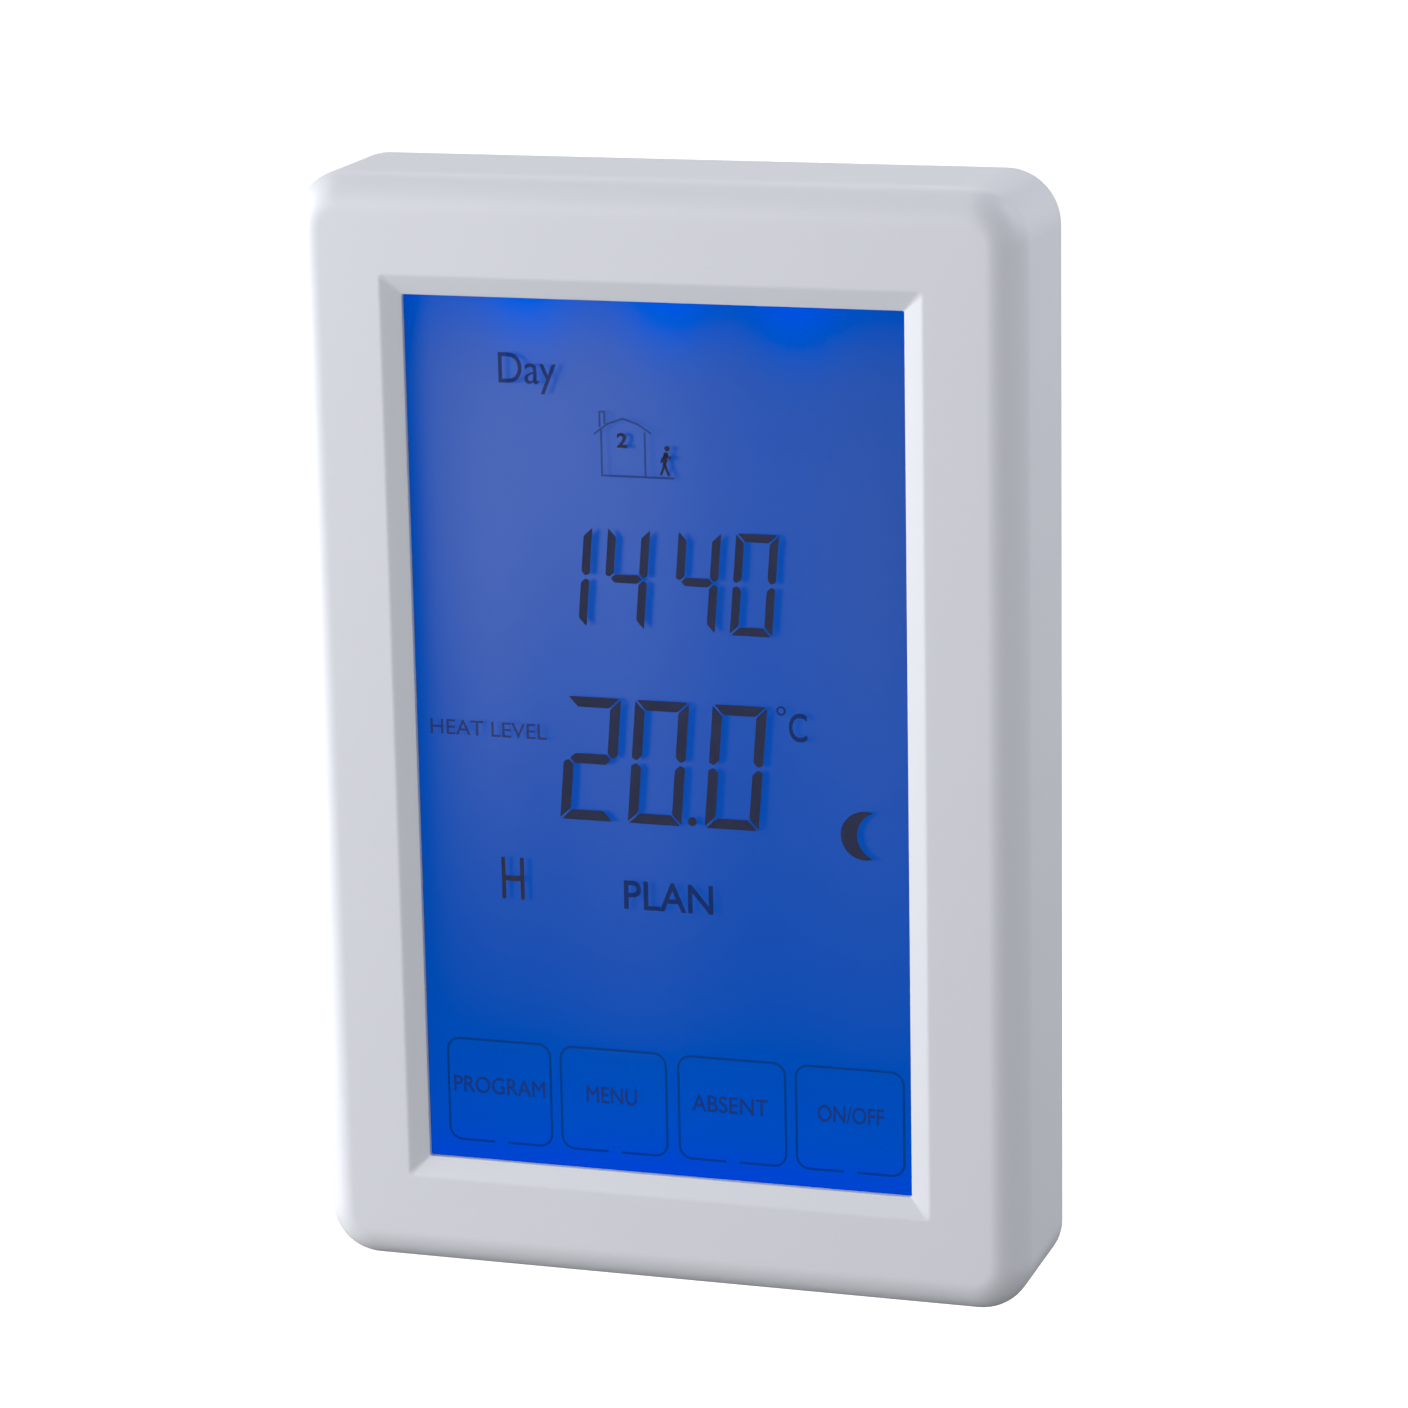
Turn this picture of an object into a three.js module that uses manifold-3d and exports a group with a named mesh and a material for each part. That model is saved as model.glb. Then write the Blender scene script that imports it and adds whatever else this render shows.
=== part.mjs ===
// Wall thermostat for floor heating: a tall touch-screen front module that hooks over a wall base.
// The base is a plastic plate on a steel plate, with a power housing that reaches into the wall box.
//
// Millimetres, +Z up. The wall plane is y = 0, the room is on the -Y side, the wall box on the +Y side.
// The origin is the middle of the outline on the wall plane.
import * as THREE from "three";
import { mergeVertices } from "three/addons/utils/BufferGeometryUtils.js";
import Module from "manifold-3d";

const wasm = await Module();
wasm.setup();

// ---------------------------------------------------------------- driving dimensions
const AIR = 0.05; // play between pieces that lie against each other
const RUN = 0.3; // play where a piece slides or is threaded
const BODY = { w: 79.8, h: 120.5, depth: 17, cornerR: 5.8, edgeR: 3.8, wall: 2.2 };
const WINDOW = { w: 54.5, h: 95.2, bevel: 2.15, bevelDepth: 0.9, lip: 0.5 };
const PANEL = { w: 60, h: 101, t: 1.1 };
const GASKET = { t: 0.4, rim: 2.2 };
const LCD = { w: 60, h: 104, t: 2.2 };
const GUIDE = { w: 58, h: 96, t: 2.6 };
const FRAME = { wall: 1.1, back: 0.65 };
const BOARD = { w: 73, h: 112, t: 1.6, cornerR: 3 };
const FLEX = { w: 24, t: 0.2 };
const PLATE = { t: 2.5, play: 0.5, rimW: 1.5, rimH: 2, cornerR: 3.6 };
const STEEL = { w: 66, h: 104, t: 1, cornerR: 3 };
const BOX = { w: 50, h: 68, depth: 26, wall: 1.8, cornerR: 2 };
const POWER_BOARD = { w: 46, h: 64, t: 1.6 };
const WALL_BOX_SPACING = 84; // between the two wall-box screws
const SWING_HOOK = { x: 18, w: 8, t: 0.8, up: 1.3, lip: 0.5 };
const SNAP = { x: 15, w: 8, slit: 1, length: 9.5, nose: 0.35 };
const HEADER = { pins: 8, pitch: 2.54, pin: 0.64, z: -26 };
const POLE = { count: 6, pitch: 7.62, z: -27.8 };
const TERMINAL = { w: 46.4, zLow: -33.8, zHigh: -21.9, back: 19 };
const CAGE = { w: 6, wall: 0.7, length: 6.4, room: 4.5, travel: 3 };

// ---------------------------------------------------------------- levels along y, from the room inwards
const FACE_Y = -BODY.depth;
const COVER_INSIDE_Y = FACE_Y + BODY.wall;
const PANEL_Y = FACE_Y + WINDOW.bevelDepth + WINDOW.lip + AIR;
const GASKET_Y = PANEL_Y + PANEL.t + AIR;
const LCD_Y = GASKET_Y + GASKET.t + AIR;
const GUIDE_Y = LCD_Y + LCD.t + 2 * AIR;
const FRAME_BACK_Y = GUIDE_Y + GUIDE.t + AIR + FRAME.back;
const BOARD_Y = FRAME_BACK_Y + 0.25;
const BOARD_BACK_Y = BOARD_Y + BOARD.t;
const ON_BOARD_Y = BOARD_BACK_Y + AIR;
const PLATE_Y = -PLATE.t;
const SEAT_Y = -STEEL.t - AIR;
const POWER_BOARD_Y = 2;
const POWER_BACK_Y = POWER_BOARD_Y + POWER_BOARD.t;
const ON_POWER_Y = POWER_BACK_Y + AIR;
const PLATE_HALF_W = BODY.w / 2 - BODY.wall - PLATE.play;
const PLATE_HALF_H = BODY.h / 2 - BODY.wall - PLATE.play;

// ---------------------------------------------------------------- places of repeated pieces, [x, z]
const BOARD_SCREWS = [-1, 1].flatMap((s) => [-1, 1].map((u) => [34.2 * s, 46 * u]));
const HOUSING_SCREWS = [-1, 1].flatMap((s) => [29.4, -17.6].map((z) => [20.6 * s, z]));
const STAKES = [-1, 1].flatMap((s) => [-1, 1].map((u) => [30 * s, 45 * u]));
const BOX_SCREWS = [1, -1].map((u) => [0, (WALL_BOX_SPACING / 2) * u]);
const LED_X = [-15, 0, 15];

// ---------------------------------------------------------------- geometry helpers
// A three.js geometry as a manifold-3d solid.
function solid(geometry) {
  const bare = geometry.index ? geometry.toNonIndexed() : geometry.clone();
  bare.deleteAttribute("normal");
  bare.deleteAttribute("uv");
  const merged = mergeVertices(bare, 1e-4);
  const mesh = new wasm.Mesh({
    numProp: 3,
    vertProperties: merged.attributes.position.array,
    triVerts: new Uint32Array(merged.index.array),
  });
  return new wasm.Manifold(mesh);
}

// A manifold-3d solid as a three.js geometry.
function geometryOf(shape) {
  const mesh = shape.getMesh();
  const geometry = new THREE.BufferGeometry();
  geometry.setAttribute("position", new THREE.BufferAttribute(mesh.vertProperties, 3));
  geometry.setIndex(new THREE.BufferAttribute(mesh.triVerts, 1));
  geometry.computeVertexNormals();
  return geometry;
}

// A box between two x, two y and two z limits.
function block([x0, x1], [y0, y1], [z0, z1]) {
  const geometry = new THREE.BoxGeometry(x1 - x0, y1 - y0, z1 - z0);
  return solid(geometry.translate((x0 + x1) / 2, (y0 + y1) / 2, (z0 + z1) / 2));
}

// A box centred on x and z, between two y limits.
function slab(w, h, [y0, y1], x = 0, z = 0) {
  return block([x - w / 2, x + w / 2], [y0, y1], [z - h / 2, z + h / 2]);
}

// A round bar along y.
function rod(r, [y0, y1], x = 0, z = 0, sides = 20) {
  const geometry = new THREE.CylinderGeometry(r, r, y1 - y0, sides);
  return solid(geometry.translate(x, (y0 + y1) / 2, z));
}

// A rounded rectangle in the face plane.
function roundedRect(w, h, r) {
  const [a, b] = [w / 2 - r, h / 2 - r];
  const shape = new THREE.Shape();
  shape.absarc(a, b, r, 0, Math.PI / 2);
  shape.absarc(-a, b, r, Math.PI / 2, Math.PI);
  shape.absarc(-a, -b, r, Math.PI, 1.5 * Math.PI);
  shape.absarc(a, -b, r, 1.5 * Math.PI, 2 * Math.PI);
  shape.closePath();
  return shape;
}

// A flat outline, drawn in x and z, given thickness from y1 towards the room down to y0.
function sheet(shape, [y0, y1], x = 0, z = 0, curveSegments = 5) {
  const geometry = new THREE.ExtrudeGeometry(shape, { depth: y1 - y0, bevelEnabled: false, curveSegments });
  return solid(geometry.rotateX(Math.PI / 2).translate(x, y1, z));
}

// An outline drawn in y and z, given a width along x.
function ribbon(points, w) {
  const shape = new THREE.Shape(points.map(([y, z]) => new THREE.Vector2(-z, y)));
  const geometry = new THREE.ExtrudeGeometry(shape, { depth: w, bevelEnabled: false });
  return solid(geometry.rotateY(Math.PI / 2).translate(-w / 2, 0, 0));
}

// A profile of [radius, y] points turned about the y axis.
function turned(profile, sides = 20) {
  return solid(new THREE.LatheGeometry(profile.map(([r, y]) => new THREE.Vector2(r, y)), sides));
}

const together = (shapes) => shapes.reduce((all, next) => all.add(next));
const without = (shape, cuts) => cuts.reduce((left, cut) => left.subtract(cut), shape);

// ---------------------------------------------------------------- colours
const paint = (color, roughness, metalness = 0) => ({ color, roughness, metalness });
const FINISH = {
  shell: paint(0xeceef2, 0.42),
  plate: paint(0xdfe1e4, 0.5),
  glass: paint(0x2b62c4, 0.12),
  lcd: paint(0x2555b8, 0.2),
  guide: paint(0x3f78e0, 0.3),
  tray: paint(0xf4f4f2, 0.5),
  foam: paint(0x1c1c1e, 0.95),
  elastomer: paint(0xd99aa0, 0.8),
  board: paint(0x1f6b3a, 0.45),
  flex: paint(0xb8742a, 0.4),
  chip: paint(0x18191b, 0.6),
  black: paint(0x222326, 0.55),
  housing: paint(0x2e3033, 0.6),
  steel: paint(0xb9bcc0, 0.35, 0.9),
  brass: paint(0xc9a24a, 0.35, 0.9),
  tin: paint(0xcfd1d2, 0.3, 0.9),
  blue: paint(0x2d5aa6, 0.5),
  yellow: paint(0xd9b13a, 0.5),
  terminal: paint(0x2f6f45, 0.5),
};

// ---------------------------------------------------------------- the scene
const thermostat = new THREE.Group();
const frontModule = new THREE.Group();
const wallBase = new THREE.Group();
thermostat.add(frontModule, wallBase);

function piece(parent, name, shape, finish, position = [0, 0, 0]) {
  const mesh = new THREE.Mesh(geometryOf(shape), new THREE.MeshStandardMaterial(finish));
  mesh.name = name;
  mesh.position.set(...position);
  parent.add(mesh);
  return mesh;
}

// ================================================================ front module
// The white cover: a shallow box with a rounded front edge and a bevelled window.
function coverShell() {
  const r = BODY.edgeR;
  const outline = roundedRect(BODY.w, BODY.h, BODY.cornerR);
  const rounded = { bevelThickness: r, bevelSize: r, bevelOffset: -r, bevelSegments: 6, curveSegments: 7 };
  const loaf = new THREE.ExtrudeGeometry(outline, { depth: BODY.depth, ...rounded });
  // The far rounded end lies behind the wall plane and is cut off.
  const outer = solid(loaf.rotateX(Math.PI / 2).translate(0, r, 0));
  const behindWall = slab(BODY.w + 10, BODY.h + 10, [0, 4 * r]);
  const inW = BODY.w - 2 * BODY.wall;
  const inH = BODY.h - 2 * BODY.wall;
  const cavity = sheet(roundedRect(inW, inH, BODY.cornerR - BODY.wall), [COVER_INSIDE_Y, 1]);
  const panelPocket = slab(PANEL.w + 0.6, PANEL.h + 0.6, [PANEL_Y - AIR, COVER_INSIDE_Y + 1]);
  return without(outer, [behindWall, cavity, panelPocket]);
}

// The window opening with its mitred bevel, narrow end at the bottom of the bevel.
function windowCut() {
  const rect = new THREE.Shape();
  rect.moveTo(-WINDOW.w / 2, -WINDOW.h / 2);
  rect.lineTo(WINDOW.w / 2, -WINDOW.h / 2);
  rect.lineTo(WINDOW.w / 2, WINDOW.h / 2);
  rect.lineTo(-WINDOW.w / 2, WINDOW.h / 2);
  rect.closePath();
  const bevel = { bevelThickness: WINDOW.bevelDepth, bevelSize: WINDOW.bevel, bevelSegments: 1 };
  const funnel = new THREE.ExtrudeGeometry(rect, { depth: 2, ...bevel });
  const mouth = solid(funnel.rotateX(Math.PI / 2).translate(0, FACE_Y, 0));
  return mouth.add(slab(WINDOW.w, WINDOW.h, [FACE_Y - 1, COVER_INSIDE_Y + 1]));
}

// Screw posts for the display board, joined to the side walls by a web.
function coverPost([x, z]) {
  const post = rod(2.4, [COVER_INSIDE_Y - 0.5, BOARD_Y - AIR], x, z, 16);
  const wallX = Math.sign(x) * (BODY.w / 2 - BODY.wall + 0.5);
  const across = [Math.min(x, wallX), Math.max(x, wallX)];
  return post.add(block(across, [COVER_INSIDE_Y - 0.5, BOARD_Y - 1], [z - 0.6, z + 0.6]));
}

function frontCover() {
  const shell = coverShell().add(together(BOARD_SCREWS.map(coverPost)));
  const pilots = BOARD_SCREWS.map(([x, z]) => rod(1.15, [BOARD_Y - 5.2, BOARD_Y], x, z, 12));
  const insideTop = BODY.h / 2 - BODY.wall;
  const hookPockets = [-1, 1].map((s) =>
    slab(SWING_HOOK.w + 0.8, 2.2, [PLATE_Y - 0.9, -SWING_HOOK.lip], SWING_HOOK.x * s, insideTop + 0.1),
  );
  const bottom = -BODY.h / 2;
  const vents = [-3, -2, -1, 0, 1, 2, 3].map((i) => slab(1.6, 2 * BODY.wall + 1, [-13, -6], 4 * i, bottom));
  const snapDimples = [-1, 1].map((s) => slab(7.6, 2, [-2.6, -0.6], SNAP.x * s, bottom + BODY.wall));
  const notches = [-1, 1].map((s) => slab(5, 2 * BODY.wall + 1, [-0.7, 1], SNAP.x * s, bottom));
  return without(shell, [windowCut(), ...pilots, ...hookPockets, ...vents, ...snapDimples, ...notches]);
}
piece(frontModule, "front_cover", frontCover(), FINISH.shell);

// ---------------------------------------------------------------- display stack
piece(frontModule, "touch_panel", slab(PANEL.w, PANEL.h, [PANEL_Y, PANEL_Y + PANEL.t]), FINISH.glass);

const flexNotch = slab(FLEX.w + 1.4, 12, [GASKET_Y - 1, GASKET_Y + GASKET.t], 0, -PANEL.h / 2 - 2.5);
function panelGasket() {
  const outer = slab(PANEL.w, PANEL.h, [GASKET_Y, GASKET_Y + GASKET.t]);
  const hole = slab(PANEL.w - 2 * GASKET.rim, PANEL.h - 2 * GASKET.rim, [GASKET_Y - 1, GASKET_Y + 1]);
  return without(outer, [hole, flexNotch]);
}
piece(frontModule, "panel_gasket", panelGasket(), FINISH.foam);
piece(frontModule, "lcd_glass", slab(LCD.w, LCD.h, [LCD_Y, LCD_Y + LCD.t]), FINISH.lcd);
piece(frontModule, "light_guide", slab(GUIDE.w, GUIDE.h, [GUIDE_Y, GUIDE_Y + GUIDE.t]), FINISH.guide);

// The contact strip joins the display's top edge to the board, through a slot in the tray.
const STRIP = { w: 50, h: 1.4, z: LCD.h / 2 - 1 };
function lcdFrame() {
  const w = LCD.w + 0.6;
  const h = LCD.h + 0.6;
  const outer = slab(w + 2 * FRAME.wall, h + 3, [GASKET_Y, FRAME_BACK_Y]);
  const lcdPocket = slab(w, h, [GASKET_Y - 1, GUIDE_Y - AIR]);
  const guidePocket = slab(GUIDE.w + 0.4, LCD.h - 4.6, [GUIDE_Y - 1, GUIDE_Y + GUIDE.t + AIR]);
  const stripSlot = slab(STRIP.w + 0.6, STRIP.h + 0.5, [GUIDE_Y - 1, FRAME_BACK_Y + 1], 0, STRIP.z);
  return without(outer, [lcdPocket, guidePocket, stripSlot, flexNotch]);
}
piece(frontModule, "lcd_frame", lcdFrame(), FINISH.tray);
const stripShape = slab(STRIP.w, STRIP.h, [LCD_Y + LCD.t + AIR, BOARD_Y - AIR], 0, STRIP.z);
piece(frontModule, "contact_strip", stripShape, FINISH.elastomer);

// A narrow board of three light-emitting diodes that shines into the edge of the light guide.
function backlightStrip(side) {
  const edge = (GUIDE.h / 2) * side;
  const mid = GUIDE_Y + GUIDE.t / 2;
  const carrier = slab(48, 0.45, [mid - 1.15, mid + 1.15], 0, edge + 1.4 * side);
  const lamps = LED_X.map((x) => slab(3.5, 1.05, [mid - 0.95, mid + 0.95], x, edge + 0.7 * side));
  return carrier.add(together(lamps));
}
piece(frontModule, "backlight_strip_top", backlightStrip(1), FINISH.tray);
piece(frontModule, "backlight_strip_bottom", backlightStrip(-1), FINISH.tray);

// ---------------------------------------------------------------- touch tail
const CONNECTOR = { w: 26, h: 4, t: 1.55, z: -50 };
// The tail leaves the back of the panel, goes down past the tray and back up into its connector.
function touchFlex() {
  const t = FLEX.t / 2;
  const start = GASKET_Y + AIR + t;
  const low = -LCD.h / 2 - 2.6;
  const back = ON_BOARD_Y + 0.7;
  const plug = CONNECTOR.z - CONNECTOR.h / 2 - AIR;
  const top = -PANEL.h / 2 + 1.9;
  const outside = [[start - t, top], [start - t, low - t], [back + t, low - t], [back + t, plug]];
  const inside = [[back - t, plug], [back - t, low + t], [start + t, low + t], [start + t, top]];
  return ribbon([...outside, ...inside], FLEX.w);
}
piece(frontModule, "touch_flex", touchFlex(), FINISH.flex);
const connectorShape = slab(CONNECTOR.w, CONNECTOR.h, [0, CONNECTOR.t]);
piece(frontModule, "flex_connector", connectorShape, FINISH.black, [0, ON_BOARD_Y, CONNECTOR.z]);

// ---------------------------------------------------------------- display board and what is on its back
function displayBoard() {
  const outline = sheet(roundedRect(BOARD.w, BOARD.h, BOARD.cornerR), [BOARD_Y, BOARD_BACK_Y]);
  const through = [BOARD_Y - 1, BOARD_BACK_Y + 1];
  const holes = BOARD_SCREWS.map(([x, z]) => rod(1.4, through, x, z, 12));
  const flexSlot = slab(FLEX.w + 1.4, 1.6, through, 0, -LCD.h / 2 - 2.6);
  return without(outline, [...holes, flexSlot]);
}
piece(frontModule, "display_board", displayBoard(), FINISH.board);
piece(frontModule, "microcontroller", slab(10, 10, [ON_BOARD_Y, ON_BOARD_Y + 1.4], 0, 8), FINISH.chip);

function buzzer() {
  const [r, height] = [6, 3.4];
  const can = [[0, 0], [r, 0], [r, height - 0.4], [r - 0.4, height]];
  const soundHole = [[1.2, height], [1.2, height - 1], [0, height - 1]];
  return turned([...can, ...soundHole], 24);
}
piece(frontModule, "buzzer", buzzer(), FINISH.chip, [16, ON_BOARD_Y, 22]);

const CELL = { r: 6.25, t: 2, x: -16, z: 22 };
function cellHolder() {
  const body = slab(15, 16, [0, 3]);
  const well = rod(CELL.r + RUN, [0.7, 4], 0, 0, 28);
  const mouth = slab(2 * CELL.r - 2, 10, [0.7, 4], 0, -7);
  return without(body, [well, mouth]);
}
piece(frontModule, "cell_holder", cellHolder(), FINISH.black, [CELL.x, ON_BOARD_Y, CELL.z]);
const backupCell = rod(CELL.r, [0, CELL.t], 0, 0, 28);
piece(frontModule, "backup_cell", backupCell, FINISH.steel, [CELL.x, ON_BOARD_Y + 0.75, CELL.z]);

const RESET = { x: 16, z: 2, body: 2.75, r: 1.5, length: 1.4, travel: 0.3 };
function resetSwitch() {
  const body = slab(6, 6, [0, RESET.body]);
  return body.subtract(rod(RESET.r + 0.15, [RESET.body - RESET.length, 4], 0, 0, 16));
}
piece(frontModule, "reset_switch", resetSwitch(), FINISH.chip, [RESET.x, ON_BOARD_Y, RESET.z]);
const resetTop = ON_BOARD_Y + RESET.body + 0.5;
const plunger = rod(RESET.r, [-RESET.length, 0], 0, 0, 16);
piece(frontModule, "reset_button", plunger, FINISH.tray, [RESET.x, resetTop, RESET.z]);

// The bead on two legs senses the room air that comes in through the slots in the cover's underside.
function airSensor() {
  const bead = solid(new THREE.SphereGeometry(1.2, 14, 10).translate(0, 2.2, 0));
  const legs = [-0.6, 0.6].map((x) => slab(0.5, 0.5, [0, 2.2], x, 0));
  return bead.add(together(legs));
}
piece(frontModule, "air_sensor", airSensor(), FINISH.chip, [26, ON_BOARD_Y, -52]);

// ---------------------------------------------------------------- plug-in link between the two boards
const pinX = (i) => (i - (HEADER.pins - 1) / 2) * HEADER.pitch;
const HEADER_TIP_Y = -5.2;
const HEADER_BASE = [-0.5, POWER_BOARD_Y - AIR];
const SOCKET_MOUTH_Y = -0.8;
const pinNumbers = [...Array(HEADER.pins).keys()];

function socketHeader() {
  const body = slab(HEADER.pins * HEADER.pitch + 0.6, 3.2, [ON_BOARD_Y, SOCKET_MOUTH_Y], 0, HEADER.z);
  const hole = (i) => slab(1.2, 1.5, [HEADER_TIP_Y - 0.4, 0], pinX(i), HEADER.z);
  return without(body, pinNumbers.map(hole));
}
piece(frontModule, "socket_header", socketHeader(), FINISH.black);

function pinHeader() {
  const base = slab(HEADER.pins * HEADER.pitch, 2.5, HEADER_BASE, 0, HEADER.z);
  const pin = (i) => slab(HEADER.pin, HEADER.pin, [HEADER_TIP_Y, HEADER_BASE[0] + 0.5], pinX(i), HEADER.z);
  return base.add(together(pinNumbers.map(pin)));
}
piece(wallBase, "pin_header", pinHeader(), FINISH.black);

// ---------------------------------------------------------------- screws
// A cross-recess pan-head screw along y. Its head's seat is at y = 0 and its shank runs towards -y.
function panScrew({ headR, headH, shankR, length }) {
  const tip = [[0, -length], [shankR * 0.5, -length], [shankR, -length + shankR]];
  const head = [[shankR, 0], [headR, 0], [headR, headH * 0.55], [headR * 0.7, headH], [0, headH]];
  const screw = turned([...tip, ...head], 16);
  const deep = [headH * 0.35, headH + 1];
  return without(screw, [slab(headR * 1.15, headR * 0.28, deep), slab(headR * 0.28, headR * 1.15, deep)]);
}

const boardScrew = panScrew({ headR: 2.1, headH: 1.4, shankR: 1, length: 6 });
BOARD_SCREWS.forEach(([x, z], i) => {
  piece(frontModule, `board_screw_${i + 1}`, boardScrew, FINISH.steel, [x, BOARD_BACK_Y + AIR, z]);
});

// Screws driven from the room side are the same shape turned round.
function fromRoom(shape) {
  return solid(geometryOf(shape).rotateX(Math.PI));
}
const housingScrew = fromRoom(panScrew({ headR: 2.5, headH: 1.2, shankR: 1.25, length: 13 }));
HOUSING_SCREWS.forEach(([x, z], i) => {
  piece(wallBase, `housing_screw_${i + 1}`, housingScrew, FINISH.steel, [x, PLATE_Y + 0.65, z]);
});
const boxScrew = fromRoom(panScrew({ headR: 3.4, headH: 2.2, shankR: 1.75, length: 23 }));
BOX_SCREWS.forEach(([x, z], i) => {
  piece(wallBase, `box_screw_${["upper", "lower"][i]}`, boxScrew, FINISH.steel, [x, SEAT_Y, z]);
});

// ================================================================ wall base
// The plastic plate that the front module hooks onto and snaps over.
function basePlate() {
  const [w, h] = [2 * PLATE_HALF_W, 2 * PLATE_HALF_H];
  const plate = sheet(roundedRect(w, h, PLATE.cornerR), [PLATE_Y, 0]);
  const rimBand = [PLATE_Y - PLATE.rimH, PLATE_Y + 0.5];
  const inner = roundedRect(w - 2 * PLATE.rimW, h - 2 * PLATE.rimW, PLATE.cornerR - PLATE.rimW);
  const rim = sheet(roundedRect(w, h, PLATE.cornerR), rimBand).subtract(sheet(inner, [rimBand[0] - 1, 1]));
  const steelSeat = sheet(roundedRect(STEEL.w + 0.6, STEEL.h + 0.6, STEEL.cornerR + 0.3), [SEAT_Y, 1]);
  const through = [PLATE_Y - PLATE.rimH - 1, 1];
  const headerWindow = slab(24, 7, through, 0, HEADER.z);
  const screwWindows = BOX_SCREWS.map(([x, z]) => sheet(roundedRect(16, 9, 4), through, x, z));
  const vents = [-2, -1, 0, 1, 2].map((i) => sheet(roundedRect(1.6, 12, 0.75), through, 4 * i, 19, 3));
  const screwHoles = HOUSING_SCREWS.map(([x, z]) => rod(1.6, through, x, z, 16));
  const headSeats = HOUSING_SCREWS.map(([x, z]) => rod(2.8, [PLATE_Y - 1, PLATE_Y + 0.7], x, z, 20));
  const slits = [-1, 1].flatMap((s) =>
    [-1, 1].map((u) => {
      const x = SNAP.x * s + (SNAP.w / 2 + SNAP.slit / 2) * u;
      return slab(SNAP.slit, 2 * SNAP.length, through, x, -PLATE_HALF_H);
    }),
  );
  const cuts = [steelSeat, headerWindow, ...screwWindows, ...vents, ...screwHoles, ...headSeats, ...slits];
  const stakes = STAKES.map(([x, z]) => rod(1.4, [SEAT_Y - 0.5, -0.1], x, z, 12));
  const hookY = [PLATE_Y, PLATE_Y + SWING_HOOK.t];
  const hooks = [-1, 1].map((s) => {
    const x = SWING_HOOK.x * s;
    const half = SWING_HOOK.w / 2;
    return block([x - half, x + half], hookY, [PLATE_HALF_H - 1, PLATE_HALF_H + SWING_HOOK.up]);
  });
  const noses = [-1, 1].map((s) => slab(6, 2 * SNAP.nose, [-2.2, -1.2], SNAP.x * s, -PLATE_HALF_H));
  return without(plate.add(rim), cuts).add(together([...stakes, ...hooks, ...noses]));
}
piece(wallBase, "base_plate", basePlate(), FINISH.plate);

// The steel plate that the wall-box screws clamp against the wall.
function mountingPlate() {
  const plate = sheet(roundedRect(STEEL.w, STEEL.h, STEEL.cornerR), [-STEEL.t, 0]);
  const opening = sheet(roundedRect(BOX.w + 1, BOX.h + 1, BOX.cornerR + 0.5), [-2, 1]);
  const slots = BOX_SCREWS.map(([x, z]) => sheet(roundedRect(9, 4.4, 2.1), [-2, 1], x, z));
  const stakeHoles = STAKES.map(([x, z]) => rod(1.7, [-2, 1], x, z, 12));
  return without(plate, [opening, ...slots, ...stakeHoles]);
}
piece(wallBase, "mounting_plate", mountingPlate(), FINISH.steel);

// The housing is deep above and stops behind the board below, where the terminal block is.
function powerHousing() {
  const t = BOX.wall;
  const front = SEAT_Y + AIR;
  const shelfTop = TERMINAL.zHigh + 0.2 + t;
  const outer = sheet(roundedRect(BOX.w, BOX.h, BOX.cornerR), [front, BOX.depth], 0, 0, 4);
  const boardBay = slab(BOX.w - 2 * t, BOX.h - 2 * t, [front - 1, ON_POWER_Y]);
  const top = BOX.h / 2 - t;
  const half = BOX.w / 2 - t;
  const deepBay = block([-half, half], [front, BOX.depth - t], [shelfTop, top]);
  const step = block([-BOX.w, BOX.w], [POWER_BACK_Y, BOX.depth + 1], [-BOX.h, TERMINAL.zHigh + 0.2]);
  const hollow = without(outer, [boardBay, deepBay, step]);
  const pillars = HOUSING_SCREWS.map(([x, z]) => {
    const reach = Math.sign(x) * (half + 0.5);
    const post = rod(2.2, [ON_POWER_Y, BOX.depth - 1], x, z, 16);
    const across = [Math.min(x, reach), Math.max(x, reach)];
    return post.add(block(across, [ON_POWER_Y, BOX.depth - 1], [z - 0.7, z + 0.7]));
  });
  const pilots = HOUSING_SCREWS.map(([x, z]) => rod(1.25 + RUN, [ON_POWER_Y - 1, 14], x, z, 12));
  const backVents = [-2, -1, 0, 1, 2].map((i) => slab(1.8, 16, [BOX.depth - 3, BOX.depth + 1], 5 * i, 8));
  return without(hollow.add(together(pillars)), [...pilots, ...backVents]);
}
piece(wallBase, "power_housing", powerHousing(), FINISH.housing);

// ---------------------------------------------------------------- power board and what is on its back
function powerBoard() {
  const board = slab(POWER_BOARD.w, POWER_BOARD.h, [POWER_BOARD_Y, POWER_BACK_Y]);
  return without(board, HOUSING_SCREWS.map(([x, z]) => rod(1.6, [0, 5], x, z, 12)));
}
piece(wallBase, "power_board", powerBoard(), FINISH.board);
piece(wallBase, "relay", slab(29, 12.6, [0, 15.7]), FINISH.blue, [-6.5, ON_POWER_Y, 19]);

function transformer() {
  const bobbin = slab(14, 15, [0, 2.5]).add(slab(14, 15, [10.5, 13]));
  const winding = slab(11.5, 12.5, [2, 11]);
  const core = slab(17, 6, [1.2, 12]);
  return together([bobbin, winding, core]);
}
piece(wallBase, "transformer", transformer(), FINISH.yellow, [11, ON_POWER_Y, -1.5]);

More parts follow.
